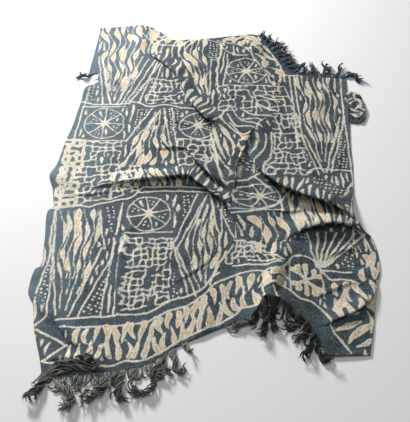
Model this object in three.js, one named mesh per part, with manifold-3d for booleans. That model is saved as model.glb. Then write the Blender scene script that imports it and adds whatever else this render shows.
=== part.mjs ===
// An ndop cloth: cotton strips sewn edge to edge, dyed with indigo over a stitched resist, with fringed ends.
// It lies on a floor in loose folds, its far end turned under.
// Millimetres, +Z up, +Y from the near hem to the far end.
import * as THREE from "three";
import Module from "manifold-3d";

const wasm = await Module();
wasm.setup();

// The sheet and its net of vertices
const THICKNESS = 2;
const COLUMNS = 37;
const ROWS = 49;
const HALF = THICKNESS / 2;

// The tucked end: its turn, its corners on the floor, and the room kept for its fringe
const TURN_RADIUS = 4.5;
const TURN_REACH = 7;
const TURN_STEPS = 4;
const FLAP_ROWS = 4;
const FLAP_CORNER = { x: -604, y: 622 };
const FLAP_END = { x: 196, y: 922 };
const FLAP_FRINGE_ROOM = 112;
const LAYER_RAMP = 75;
// Past the tucked end's right corner the upper layer comes down over this stretch
const LAYER_SIDE = { from: 14, to: 80 };

// The fringe
const ROOT_GAP = 0.55;
const ROOT_WIDTH = 6;
const STRAND_WIDTH = 4.8;
const STRAND_HEIGHT = 4;
const STRIP_MARGIN = 0.12; // how far the strip goes past its outer cords, in columns of the net

const COLOURS = { cloth: 0x4d6172, fringe: 0x3b4650 };

function table(columns, rows) {
  return rows.map((row) => Object.fromEntries(columns.map((column, i) => [column, row[i]])));
}

// Edges of the cloth as it lies, each from left to right or from near to far
const NEAR_HEM = table(["x", "y", "lift"], [
  [-579, -900, 0],
  [-528, -913, 4],
  [-470, -909, 6],
  [-350, -895, 0],
  [-250, -876, 0],
  [-200, -850, 0],
  [-150, -812, 2],
  [-50, -762, 6],
  [40, -722, 8],
  [100, -700, 12],
  [132, -668, 34],
  [160, -632, 52],
  [205, -642, 50],
  [248, -672, 38],
  [300, -730, 20],
  [334, -800, 10],
  [358, -838, 7],
  [420, -840, 7],
  [493, -838, 4],
]);
const FAR_EDGE = table(["x", "y"], [
  [-583, 990],
  [-480, 1000],
  [-379, 1010],
  [-325, 996],
  [-271, 950],
  [-217, 892],
  [-130, 893],
  [-43, 898],
  [100, 921],
  [207, 932],
  [248, 862],
  [290, 770],
  [343, 655],
  [443, 614],
  [614, 600],
]);
const FOLD_COLUMNS = 0.585; // the far edge is a fold up to this share of its length, and a hem beyond
const LEFT_EDGE = table(["x", "y"], [
  [-579, -900],
  [-593, -850],
  [-629, -743],
  [-654, -630],
  [-673, -600],
  [-667, -490],
  [-652, -480],
  [-654, -364],
  [-664, -215],
  [-650, -200],
  [-662, -107],
  [-683, -36],
  [-664, 50],
  [-650, 164],
  [-629, 293],
  [-614, 436],
  [-600, 530],
  [-560, 552],
  [-557, 650],
  [-571, 793],
  [-583, 990],
]);
const RIGHT_EDGE = table(["x", "y"], [
  [493, -838],
  [507, -793],
  [526, -721],
  [543, -650],
  [564, -564],
  [586, -493],
  [590, -421],
  [580, -350],
  [557, -275],
  [544, -179],
  [560, 7],
  [571, 150],
  [586, 293],
  [614, 600],
]);

// Folds: half width on the left of the path, half width on its right, and the path with the crest's height
const FOLDS = [
  {
    name: "cross roll",
    left: 58,
    right: 42,
    path: [[-500, -78, 5], [-410, -52, 16], [-320, -32, 27], [-220, -18, 32], [-140, -6, 34], [-95, -14, 34],
      [-30, -78, 32], [30, -140, 28], [80, -205, 18], [98, -262, 5]],
  },
  {
    name: "spine",
    left: 60,
    right: 30,
    path: [[262, 330, 6], [196, 258, 14], [148, 180, 20], [98, 50, 22], [84, -40, 22], [82, -140, 20],
      [94, -240, 16], [84, -330, 5]],
  },
  {
    name: "great ridge",
    left: 80,
    right: 50,
    path: [[168, 110, 12], [192, 46, 30], [262, -42, 44], [360, -106, 50], [470, -158, 47], [548, -226, 30],
      [590, -262, 22]],
  },
  {
    name: "lobe",
    left: 62,
    right: 42,
    path: [
      [240, -350, 8], [296, -302, 20], [356, -268, 30], [430, -252, 34], [510, -266, 30],
      [572, -312, 20],
    ],
  },
  {
    name: "far crease",
    left: 46,
    right: 34,
    path: [[-335, 800, 6], [-229, 700, 14], [-164, 612, 16], [-100, 462, 16], [-58, 400, 20], [10, 312, 22],
      [52, 262, 6]],
  },
  {
    name: "border roll",
    left: 50,
    right: 30,
    path: [[170, 872, 12], [216, 766, 22], [262, 656, 24], [304, 578, 14], [340, 540, 4]],
  },
  {
    name: "arch",
    left: 66,
    right: 72,
    path: [[170, -650, 50], [188, -566, 44], [212, -480, 28], [248, -398, 14], [290, -340, 5]],
  },
  {
    name: "lobe crease",
    left: 42,
    right: 26,
    path: [[352, -716, 7], [398, -676, 18], [460, -640, 22], [520, -600, 14], [548, -570, 5]],
  },
  {
    name: "lobe second crease",
    left: 30,
    right: 28,
    path: [[478, -500, 4], [520, -520, 12], [542, -560, 10], [538, -620, 4]],
  },
  {
    name: "left pleat",
    left: 24,
    right: 24,
    path: [[-338, -300, 3], [-348, -360, 9], [-352, -500, 11], [-348, -640, 10], [-340, -740, 4]],
  },
  {
    name: "corner turn",
    left: 50,
    right: 30,
    path: [[-668, -604, 5], [-606, -662, 12], [-540, -724, 15], [-470, -800, 16], [-404, -868, 10]],
  },
  {
    name: "corner wrinkle",
    left: 26,
    right: 24,
    path: [[-560, -846, 4], [-500, -836, 12], [-440, -842, 13], [-372, -838, 4]],
  },
  {
    name: "middle pucker",
    left: 34,
    right: 24,
    path: [[-262, 130, 3], [-206, 146, 10], [-150, 150, 13], [-96, 142, 8], [-60, 110, 4]],
  },
  {
    name: "left wave",
    left: 70,
    right: 60,
    path: [[-668, -40, 12], [-610, -58, 9], [-540, -70, 4]],
  },
  {
    name: "right wave",
    left: 60,
    right: 60,
    path: [[520, 570, 3], [490, 470, 9], [440, 370, 7], [390, 280, 3]],
  },
  {
    name: "far wave",
    left: 60,
    right: 60,
    path: [[-380, 980, 8], [-372, 860, 9], [-356, 740, 6], [-330, 640, 3]],
  },
  {
    name: "hem wave",
    left: 55,
    right: 60,
    path: [[-60, -760, 6], [-40, -680, 9], [-10, -600, 6], [20, -530, 3]],
  },
];
const BLEND_POWER = 3; // where folds meet, the higher one shows and the join is soft

// What peeks out at the right: x, y round its outline from the selvedge
const TAB = [[576, 296], [640, 290], [664, 318], [670, 400], [666, 470], [640, 498], [600, 490], [590, 480]];

// Clumps of cords: hem shares from and to, number, the middle and width of their tips, and their first bend
const CLUMP_COLUMNS = ["from", "to", "strands", "tipX", "tipY", "spread", "bend"];
const NEAR_LEFT_CLUMPS = table(CLUMP_COLUMNS, [
  [0.003, 0.031, 5, -598, -1000, 34, -8],
  [0.04, 0.071, 5, -536, -1006, 34, 8],
  [0.08, 0.11, 5, -482, -1014, 34, -6],
  [0.12, 0.154, 6, -432, -1002, 42, 8],
  [0.164, 0.198, 6, -378, -988, 42, -6],
  [0.207, 0.241, 6, -322, -990, 42, 8],
  [0.252, 0.281, 5, -270, -962, 34, 6],
  [0.292, 0.316, 4, -222, -964, 26, -8],
  [0.328, 0.353, 4, -178, -908, 26, 6],
  [0.366, 0.389, 4, -124, -886, 26, -10],
  [0.401, 0.416, 3, -84, -832, 18, 6],
]);
const NEAR_MIDDLE_CLUMPS = table(CLUMP_COLUMNS, [
  [0.548, 0.562, 2, 70, -756, 10, 4],
  [0.575, 0.592, 3, 108, -784, 18, -6],
  [0.604, 0.624, 3, 146, -790, 18, 4],
]);
const NEAR_RIGHT_CLUMPS = table(CLUMP_COLUMNS, [
  [0.648, 0.664, 3, 180, -764, 18, 0],
  [0.675, 0.697, 4, 214, -778, 26, 4],
  [0.708, 0.732, 4, 246, -798, 26, -4],
  [0.744, 0.77, 4, 270, -846, 26, 4],
  [0.782, 0.806, 4, 294, -872, 24, -6],
  [0.83, 0.852, 4, 330, -884, 24, 4],
]);
const FAR_RIGHT_CLUMPS = table(CLUMP_COLUMNS, [
  [0.604, 0.62, 3, 252, 958, 20, 4],
  [0.63, 0.655, 4, 298, 912, 32, -4],
  [0.665, 0.69, 4, 330, 868, 32, 4],
  [0.7, 0.725, 4, 356, 816, 32, -4],
  [0.735, 0.76, 4, 376, 762, 32, 4],
  [0.77, 0.79, 4, 390, 716, 26, -2],
  [0.806, 0.828, 4, 410, 690, 24, 2],
  [0.842, 0.864, 4, 444, 700, 26, -4],
  [0.878, 0.9, 4, 488, 700, 26, 4],
  [0.914, 0.934, 4, 546, 704, 26, -4],
  [0.95, 0.978, 5, 636, 668, 34, 6],
]);
const FLAP_CLUMPS = table(CLUMP_COLUMNS, [
  [0.004, 0.05, 5, -644, 600, 34, -12],
  [0.1, 0.14, 2, -520, 548, 20, 8],
  [0.2, 0.24, 2, -430, 588, 20, -6],
  [0.31, 0.35, 2, -340, 616, 20, 6],
  [0.42, 0.46, 2, -250, 652, 20, -6],
  [0.53, 0.57, 2, -160, 686, 20, 6],
  [0.64, 0.68, 2, -72, 720, 20, -6],
  [0.75, 0.79, 2, 16, 754, 20, 6],
  [0.86, 0.9, 2, 104, 790, 20, -6],
]);

const UP = new THREE.Vector3(0, 0, 1);

function curveThrough(points) {
  const corners = points.map((p) => new THREE.Vector3(p.x, p.y, p.lift ?? 0));
  return new THREE.CatmullRomCurve3(corners, false, "centripetal");
}

function smooth(low, high, value) {
  const share = Math.min(Math.max((value - low) / (high - low), 0), 1);
  return share * share * (3 - 2 * share);
}

// The solid of a closed net of points and triangles, its faces turned outwards, and the mesh of a solid
function solidOf(points, triangles) {
  const made = new wasm.Manifold(new wasm.Mesh({
    numProp: 3,
    vertProperties: new Float32Array(points.flatMap((p) => [p.x, p.y, p.z])),
    triVerts: new Uint32Array(triangles.flat()),
  }));
  return made.volume() < 0 ? solidOf(points, triangles.map(([a, b, c]) => [a, c, b])) : made;
}

function meshOf(name, solid, colour) {
  const { vertProperties, triVerts } = solid.getMesh();
  const geometry = new THREE.BufferGeometry();
  geometry.setAttribute("position", new THREE.BufferAttribute(new Float32Array(vertProperties), 3));
  geometry.setIndex(new THREE.BufferAttribute(new Uint32Array(triVerts), 1));
  geometry.computeVertexNormals();
  const material = new THREE.MeshStandardMaterial({ color: colour, roughness: 0.95, metalness: 0 });
  const mesh = new THREE.Mesh(geometry, material);
  mesh.name = name;
  return mesh;
}

// Height of the folds over a place on the floor
const CREST_STEPS = 40;
const crests = FOLDS.map(({ left, right, path }) => {
  const points = curveThrough(table(["x", "y", "lift"], path)).getPoints(CREST_STEPS);
  return { left, right, points };
});

function ridgeHeight(crest, x, y) {
  let nearest = Infinity;
  let height = 0;
  let side = 0;
  for (let i = 0; i < crest.points.length - 1; i += 1) {
    const a = crest.points[i];
    const b = crest.points[i + 1];
    const dx = b.x - a.x;
    const dy = b.y - a.y;
    const along = THREE.MathUtils.clamp(((x - a.x) * dx + (y - a.y) * dy) / (dx * dx + dy * dy), 0, 1);
    const distance = Math.hypot(x - a.x - along * dx, y - a.y - along * dy);
    if (distance < nearest) {
      nearest = distance;
      height = a.z + along * (b.z - a.z);
      side = dx * (y - a.y) - dy * (x - a.x);
    }
  }
  const share = nearest / (side > 0 ? crest.left : crest.right);
  return share < 1 ? height * (1 - share) ** 2 * (1 + 2 * share) : 0;
}

// The upper layer stands over the tucked end and its fringe, and comes down in a soft ramp past them
function layerHeight(x, y) {
  const across = (x - FLAP_CORNER.x) / (FLAP_END.x - FLAP_CORNER.x);
  const hem = FLAP_CORNER.y + across * (FLAP_END.y - FLAP_CORNER.y);
  const over = smooth(hem - FLAP_FRINGE_ROOM - LAYER_RAMP, hem - FLAP_FRINGE_ROOM, y);
  const beside = 1 - smooth(FLAP_END.x + LAYER_SIDE.from, FLAP_END.x + LAYER_SIDE.to, x);
  return 2 * TURN_RADIUS * over * beside;
}

function clothHeight(x, y) {
  const heights = crests.map((crest) => ridgeHeight(crest, x, y));
  const folds = heights.reduce((sum, height) => sum + height ** BLEND_POWER, 0) ** (1 / BLEND_POWER);
  return folds + layerHeight(x, y);
}

// Place of the net's point at a share of the width and of the length
const nearHem = curveThrough(NEAR_HEM);
const farEdge = curveThrough(FAR_EDGE);
const leftEdge = curveThrough(LEFT_EDGE);
const rightEdge = curveThrough(RIGHT_EDGE);
// The hems' shapes fade out over these shares of the length
const NEAR_REACH = 0.42;
const FAR_REACH = 0.4;

function placeOf(across, along) {
  const chord = (share) => leftEdge.getPointAt(share).lerp(rightEdge.getPointAt(share), across);
  const near = nearHem.getPointAt(across);
  const far = farEdge.getPointAt(across);
  const nearPull = Math.max(1 - along / NEAR_REACH, 0) ** 2;
  const farPull = Math.max(1 - (1 - along) / FAR_REACH, 0) ** 2;
  const place = chord(along);
  place.addScaledVector(near.clone().sub(chord(0)), nearPull);
  place.addScaledVector(far.clone().sub(chord(1)), farPull);
  place.z = HALF + Math.max(clothHeight(place.x, place.y), place.z);
  return place;
}

// Rows lie closer at the hem and where the deep folds cross the cloth
const CLOSER = [
  { at: 0, reach: 0.06, gain: 0.5 },
  { at: 0.4, reach: 0.13, gain: 0.9 },
];
const FINE_STEPS = 400;

function rowShares() {
  const density = (share) => CLOSER.reduce(
    (sum, { at, reach, gain }) => sum + gain * Math.exp(-(((share - at) / reach) ** 2)),
    1,
  );
  const sums = [0];
  for (let i = 0; i < FINE_STEPS; i += 1) {
    sums.push(sums[i] + density((i + 0.5) / FINE_STEPS));
  }
  const shares = [0];
  for (let i = 0; i < FINE_STEPS; i += 1) {
    const wanted = (sums[FINE_STEPS] * shares.length) / ROWS;
    if (sums[i + 1] >= wanted && shares.length < ROWS) {
      shares.push((i + (wanted - sums[i]) / (sums[i + 1] - sums[i])) / FINE_STEPS);
    }
  }
  shares.push(1);
  return shares;
}

// The tucked end's hem on the floor, at a share of the cloth's width
function flapHem(across) {
  const share = across / FOLD_COLUMNS;
  return new THREE.Vector3(
    THREE.MathUtils.lerp(FLAP_CORNER.x, FLAP_END.x, share),
    THREE.MathUtils.lerp(FLAP_CORNER.y, FLAP_END.y, share),
    HALF,
  );
}

// Middle surface: rows from near to far, then round the turn and along the tucked end
function middleNet() {
  const rows = rowShares().map((along) => {
    const row = [];
    for (let i = 0; i <= COLUMNS; i += 1) {
      row.push(placeOf(i / COLUMNS, along));
    }
    return row;
  });
  const edge = rows[ROWS];
  const foldLast = Math.floor(FOLD_COLUMNS * COLUMNS);
  const folded = edge.slice(0, foldLast + 1);
  const outward = folded.map((point, i) => {
    const before = edge[Math.max(i - 1, 0)];
    const after = edge[i + 1];
    return new THREE.Vector3(before.y - after.y, after.x - before.x, 0).normalize();
  });
  for (let step = 1; step < TURN_STEPS; step += 1) {
    const angle = (Math.PI * step) / TURN_STEPS;
    rows.push(folded.map((point, i) => {
      const radius = (point.z - HALF) / 2;
      const turned = point.clone().addScaledVector(outward[i], TURN_REACH * Math.sin(angle));
      turned.z = HALF + radius * (1 + Math.cos(angle));
      return turned;
    }));
  }
  for (let step = 0; step <= FLAP_ROWS; step += 1) {
    rows.push(folded.map((point, i) => {
      const start = new THREE.Vector3(point.x, point.y, HALF);
      return start.lerp(flapHem(i / COLUMNS), step / FLAP_ROWS);
    }));
  }
  return rows;
}

// Triangles of the net, split along the shorter way over each fold
function netTriangles(rows, index) {
  const triangles = [];
  for (let j = 0; j < rows.length - 1; j += 1) {
    const width = Math.min(rows[j].length, rows[j + 1].length) - 1;
    for (let i = 0; i < width; i += 1) {
      const [a, b, c, d] = [index(j, i), index(j, i + 1), index(j + 1, i + 1), index(j + 1, i)];
      const rise = Math.abs(rows[j][i].z - rows[j + 1][i + 1].z);
      const otherRise = Math.abs(rows[j][i + 1].z - rows[j + 1][i].z);
      triangles.push(...(rise < otherRise ? [[a, b, c], [a, c, d]] : [[a, b, d], [b, c, d]]));
    }
  }
  return triangles;
}

// Open edges of a set of triangles, each turned as its triangle has it
function openEdges(triangles) {
  const edges = new Map();
  triangles.forEach(([a, b, c]) => {
    [[a, b], [b, c], [c, a]].forEach(([from, to]) => {
      if (!edges.delete(`${to} ${from}`)) {
        edges.set(`${from} ${to}`, [from, to]);
      }
    });
  });
  return [...edges.values()];
}

// A sheet of the cloth's thickness about a middle surface
function sheetOf(points, normals, triangles) {
  const count = points.length;
  const upper = points.map((p, i) => p.clone().addScaledVector(normals[i], HALF));
  const lower = points.map((p, i) => p.clone().addScaledVector(normals[i], -HALF));
  const under = triangles.map(([a, b, c]) => [a + count, c + count, b + count]);
  const rim = openEdges(triangles).flatMap(([from, to]) => [
    [from, to + count, to],
    [from, from + count, to + count],
  ]);
  return solidOf([...upper, ...lower], [...triangles, ...under, ...rim]);
}

function normalsOf(points, triangles) {
  const geometry = new THREE.BufferGeometry().setFromPoints(points);
  geometry.setIndex(triangles.flat());
  geometry.computeVertexNormals();
  const normal = geometry.attributes.normal;
  return points.map((p, i) => new THREE.Vector3().fromBufferAttribute(normal, i));
}

// A row of cords fused into a narrow strip that lies along a hem
function fringeOf(hem, clumps) {
  const columns = hem.edge.length - 1;
  const first = Math.max(clumps[0].from * columns - STRIP_MARGIN, 0);
  const last = Math.min(clumps.at(-1).to * columns + STRIP_MARGIN, columns);
  let fringe = stripOf(hem, first, last);
  for (const clump of clumps) {
    for (let k = 0; k < clump.strands; k += 1) {
      const share = k / (clump.strands - 1);
      const station = THREE.MathUtils.lerp(clump.from, clump.to, share) * columns;
      fringe = fringe.add(strandOf(hem, station, clump, share, k));
    }
  }
  return fringe;
}

function stripOf(hem, first, last) {
  const stations = [first];
  for (let i = Math.floor(first) + 1; i < last; i += 1) {
    stations.push(i);
  }
  stations.push(last);
  const corners = stations.flatMap((station) => {
    const at = pointAt(hem.edge, station);
    const normal = pointAt(hem.normals, station);
    const out = pointAt(hem.outward, station);
    return [[ROOT_GAP, HALF], [ROOT_WIDTH, HALF], [ROOT_WIDTH, -HALF], [ROOT_GAP, -HALF]].map(
      ([reach, rise]) => {
        const corner = at.clone().addScaledVector(out, reach).addScaledVector(normal, rise);
        return corner.setZ(Math.max(corner.z, 0));
      },
    );
  });
  return solidOf(corners, tubeTriangles(stations.length, 4));
}

// Triangles of a closed tube through rings of points
function tubeTriangles(rings, sides) {
  const triangles = [];
  for (let ring = 0; ring < rings - 1; ring += 1) {
    for (let side = 0; side < sides; side += 1) {
      const a = ring * sides + side;
      const b = ring * sides + ((side + 1) % sides);
      triangles.push([a, a + sides, b + sides], [a, b + sides, b]);
    }
  }
  const end = (rings - 1) * sides;
  for (let side = 1; side < sides - 1; side += 1) {
    triangles.push([0, side, side + 1], [end, end + side + 1, end + side]);
  }
  return triangles;
}

function pointAt(list, station) {
  const i = Math.min(Math.floor(station), list.length - 2);
  return list[i].clone().lerp(list[i + 1], station - i);
}

// One cord of three sides: thin where it leaves the strip, and level where it lies on the floor
const UNEVEN = [0, 9, -7, 4, -10, 6, -3];
const ROOT_SIZE = 0.35;
const TIP_SIZE = 0.75;
const FALL_SHARE = 0.55; // a cord from a raised hem is down on the floor by this share of its length
const BEND_SHARE = 0.34;

function strandOf(hem, station, clump, share, k) {
  const root = pointAt(hem.edge, station);
  const out = pointAt(hem.outward, station);
  const rest = STRAND_HEIGHT / 3;
  const start = root.addScaledVector(out, (ROOT_GAP + ROOT_WIDTH) / 2);
  out.setZ(0).normalize();
  const tip = new THREE.Vector3(clump.tipX, clump.tipY, 0);
  const tipLine = tip.clone().sub(start).setZ(0).normalize();
  const tipAcross = new THREE.Vector3(-tipLine.y, tipLine.x, 0);
  tip.addScaledVector(tipAcross, (share - 0.5) * clump.spread * hem.turn);
  tip.addScaledVector(tipLine, UNEVEN[k % UNEVEN.length]);
  const reach = Math.hypot(tip.x - start.x, tip.y - start.y);
  const bendOne = start.clone().addScaledVector(out, reach * BEND_SHARE);
  bendOne.addScaledVector(tipAcross, clump.bend);
  const bendTwo = tip.clone().addScaledVector(tipLine, -reach * BEND_SHARE);
  bendTwo.addScaledVector(tipAcross, clump.bend);
  const route = new THREE.CubicBezierCurve3(start, bendOne, bendTwo, tip);
  const places = hem.steps.map((step) => {
    const at = route.getPoint(step);
    at.z = step === 0 ? start.z : Math.max(rest, start.z * (1 - step / FALL_SHARE));
    return at;
  });
  const rings = places.flatMap((at, i) => {
    const ahead = places[Math.min(i + 1, places.length - 1)];
    const behind = places[Math.max(i - 1, 0)];
    const side = new THREE.Vector3().crossVectors(ahead.clone().sub(behind), UP).normalize();
    const over = new THREE.Vector3().crossVectors(side, ahead.clone().sub(behind).normalize());
    const lies = i > 0 && at.z === rest;
    const size = i === 0 ? ROOT_SIZE : i === places.length - 1 ? TIP_SIZE : 1;
    const low = at.clone().addScaledVector(over, -rest * size);
    const high = at.clone().addScaledVector(over, 2 * rest * size);
    if (lies) {
      low.copy(at).setZ(0);
      high.copy(at).setZ(STRAND_HEIGHT * size);
    }
    const half = (STRAND_WIDTH / 2) * size;
    return [low.clone().addScaledVector(side, -half), low.clone().addScaledVector(side, half), high];
  });
  return solidOf(rings, tubeTriangles(places.length, 3));
}

// The part of a lower layer that peeks out past the right selvedge
function tabSolid() {
  const lower = TAB.map(([x, y]) => new THREE.Vector3(x, y, 0));
  const upper = lower.map((p) => p.clone().setZ(THICKNESS));
  const faces = THREE.ShapeUtils.triangulateShape(TAB.map(([x, y]) => new THREE.Vector2(x, y)), []);
  const count = TAB.length;
  const sides = lower.flatMap((p, i) => {
    const next = (i + 1) % count;
    return [[i, next, next + count], [i, next + count, i + count]];
  });
  const caps = faces.flatMap(([a, b, c]) => [[a + count, b + count, c + count], [a, c, b]]);
  return solidOf([...lower, ...upper], [...sides, ...caps]);
}

// Directions that lead on from the cloth past its edge
function outwardOf(edge, normals, turn) {
  return edge.map((point, i) => {
    const tangent = edge[Math.min(i + 1, edge.length - 1)].clone().sub(edge[Math.max(i - 1, 0)]).normalize();
    return new THREE.Vector3().crossVectors(tangent, normals[i]).normalize().multiplyScalar(turn);
  });
}

// The cloth
const rows = middleNet();
const starts = [];
let total = 0;
for (const row of rows) {
  starts.push(total);
  total += row.length;
}
const points = rows.flat();
const triangles = netTriangles(rows, (j, i) => starts[j] + i);
const normals = normalsOf(points, triangles);
const cloth = sheetOf(points, normals, triangles).add(tabSolid());

// Its hems, as rows of the net. Turn is 1 where outwards is towards the near end, and -1 away from it.
// Steps are the shares of a cord's length at which it has a section.
function hemOf(rowNumber, turn, steps) {
  const edge = rows[rowNumber];
  const edgeNormals = edge.map((p, i) => normals[starts[rowNumber] + i]);
  edgeNormals.forEach((normal) => normal.multiplyScalar(Math.sign(normal.z)));
  return { edge, turn, steps, normals: edgeNormals, outward: outwardOf(edge, edgeNormals, turn) };
}

const nearEdge = hemOf(0, 1, [0, 0.12, 0.4, 0.7, 1]);
const farHem = hemOf(ROWS, -1, [0, 0.16, 0.55, 1]);
const flapEdge = hemOf(rows.length - 1, 1, [0, 0.14, 1]);

const FRINGES = [
  { name: "fringe_near_left", hem: nearEdge, clumps: NEAR_LEFT_CLUMPS },
  { name: "fringe_near_middle", hem: nearEdge, clumps: NEAR_MIDDLE_CLUMPS },
  { name: "fringe_near_right", hem: nearEdge, clumps: NEAR_RIGHT_CLUMPS },
  { name: "fringe_far_right", hem: farHem, clumps: FAR_RIGHT_CLUMPS },
  { name: "fringe_far_left", hem: flapEdge, clumps: FLAP_CLUMPS },
];

const laid = new THREE.Group();
laid.add(meshOf("cloth", cloth, COLOURS.cloth));
for (const { name, hem, clumps } of FRINGES) {
  laid.add(meshOf(name, fringeOf(hem, clumps), COLOURS.fringe));
}

// The origin is the middle of the cloth's footprint on the floor
const middle = new THREE.Box3().setFromObject(laid).getCenter(new THREE.Vector3());
laid.position.set(-middle.x, -middle.y, 0);
const part = new THREE.Group();
part.add(laid);

export default part;
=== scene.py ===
# Ndop cloth: cotton strips sewn edge to edge and dyed with indigo over a stitched resist, with fringes.
# Metres, but for the tables of places, which are in millimetres and go through metres().
# +Y runs from the near hem to the far end, +X to the right and +Z up.
import math
import random

import bpy
import numpy as np
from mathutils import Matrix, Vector, noise


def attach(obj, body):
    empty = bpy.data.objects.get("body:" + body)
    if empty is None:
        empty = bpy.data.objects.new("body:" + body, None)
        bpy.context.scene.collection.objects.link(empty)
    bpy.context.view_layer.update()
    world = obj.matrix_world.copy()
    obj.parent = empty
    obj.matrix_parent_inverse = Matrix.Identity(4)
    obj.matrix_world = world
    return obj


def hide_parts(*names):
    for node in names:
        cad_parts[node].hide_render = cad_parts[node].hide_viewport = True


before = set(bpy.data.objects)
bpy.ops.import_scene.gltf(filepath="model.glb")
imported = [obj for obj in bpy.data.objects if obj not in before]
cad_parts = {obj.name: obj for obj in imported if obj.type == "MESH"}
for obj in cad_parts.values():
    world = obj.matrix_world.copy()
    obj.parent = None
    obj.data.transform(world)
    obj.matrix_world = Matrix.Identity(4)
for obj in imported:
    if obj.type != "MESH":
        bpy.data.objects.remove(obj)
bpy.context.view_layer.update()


def metres(table):
    """A table of millimetres, or one of its numbers, in metres."""
    return tuple(metres(row) for row in table) if isinstance(table, tuple) else table / 1000


# The cloth's and the tassels' tables are measured from this place on the floor
LAID_AT = np.array([0.00594, 0.0019])

# The sheet: its strips, where the columns of points are on each, and the rows along it
THICKNESS = 0.002
HALF = THICKNESS / 2
STRIP_WIDTH = 0.05
STRIPS = 26
STRIP_COLUMNS = (0, 0.035, 0.14, 0.26, 0.38, 0.5, 0.62, 0.74, 0.86, 0.965)
ROWS = 400
PANEL_STRIPS = (0, 7, 13, 20, 26)

# The tucked end: its turn, its hem's corner and end under the cloth, and how the upper layer rises over it.
# Its hem stands for a share of the cloth's width, of which a little less is turned under
TURN_RADIUS = 0.0045
TURN_REACH = 0.007
TURN_STEPS = 8
FLAP_ROWS = 30
FLAP_CORNER = np.array([-0.604, 0.622])
FLAP_END = np.array([0.196, 0.922])
FLAP_FRINGE_ROOM = 0.112
LAYER_RAMP = 0.075
LAYER_SIDE = (0.014, 0.08)
FLAP_SHARE = 0.585
FLAP_LAST = 0.5676

# Edges of the cloth as it lies: x, y and lift. Hems go from left to right, selvedges from the near end
NEAR_HEM = metres((
    (-579, -900, 0), (-528, -913, 4), (-470, -909, 6), (-350, -895, 0), (-250, -876, 0), (-200, -850, 0),
    (-150, -812, 2), (-50, -762, 6), (40, -722, 8), (100, -700, 12), (132, -668, 34), (160, -632, 52),
    (205, -642, 50), (248, -672, 38), (300, -730, 20), (334, -800, 10), (358, -838, 7), (420, -840, 7),
    (493, -838, 4),
))
FAR_EDGE = metres((
    (-583, 990, 0), (-480, 1000, 0), (-379, 1010, 0), (-325, 996, 0), (-271, 950, 0), (-217, 892, 0),
    (-130, 893, 0), (-43, 898, 0), (100, 921, 0), (207, 932, 0), (248, 862, 0), (290, 770, 0),
    (343, 655, 0), (443, 614, 0), (614, 600, 0),
))
LEFT_EDGE = metres((
    (-579, -900, 0), (-593, -850, 0), (-629, -743, 0), (-654, -630, 0), (-673, -600, 0), (-667, -490, 0),
    (-652, -480, 0), (-654, -364, 0), (-664, -215, 0), (-650, -200, 0), (-662, -107, 0), (-683, -36, 0),
    (-664, 50, 0), (-650, 164, 0), (-629, 293, 0), (-614, 436, 0), (-600, 530, 0), (-560, 552, 0),
    (-557, 650, 0), (-571, 793, 0), (-583, 990, 0),
))
RIGHT_EDGE = metres((
    (493, -838, 0), (507, -793, 0), (526, -721, 0), (543, -650, 0), (564, -564, 0), (586, -493, 0),
    (590, -421, 0), (580, -350, 0), (557, -275, 0), (544, -179, 0), (560, 7, 0), (571, 150, 0),
    (586, 293, 0), (614, 600, 0),
))
# How far into the cloth its hems' curves are felt, as shares of its length
NEAR_REACH = 0.42
FAR_REACH = 0.4

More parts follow.
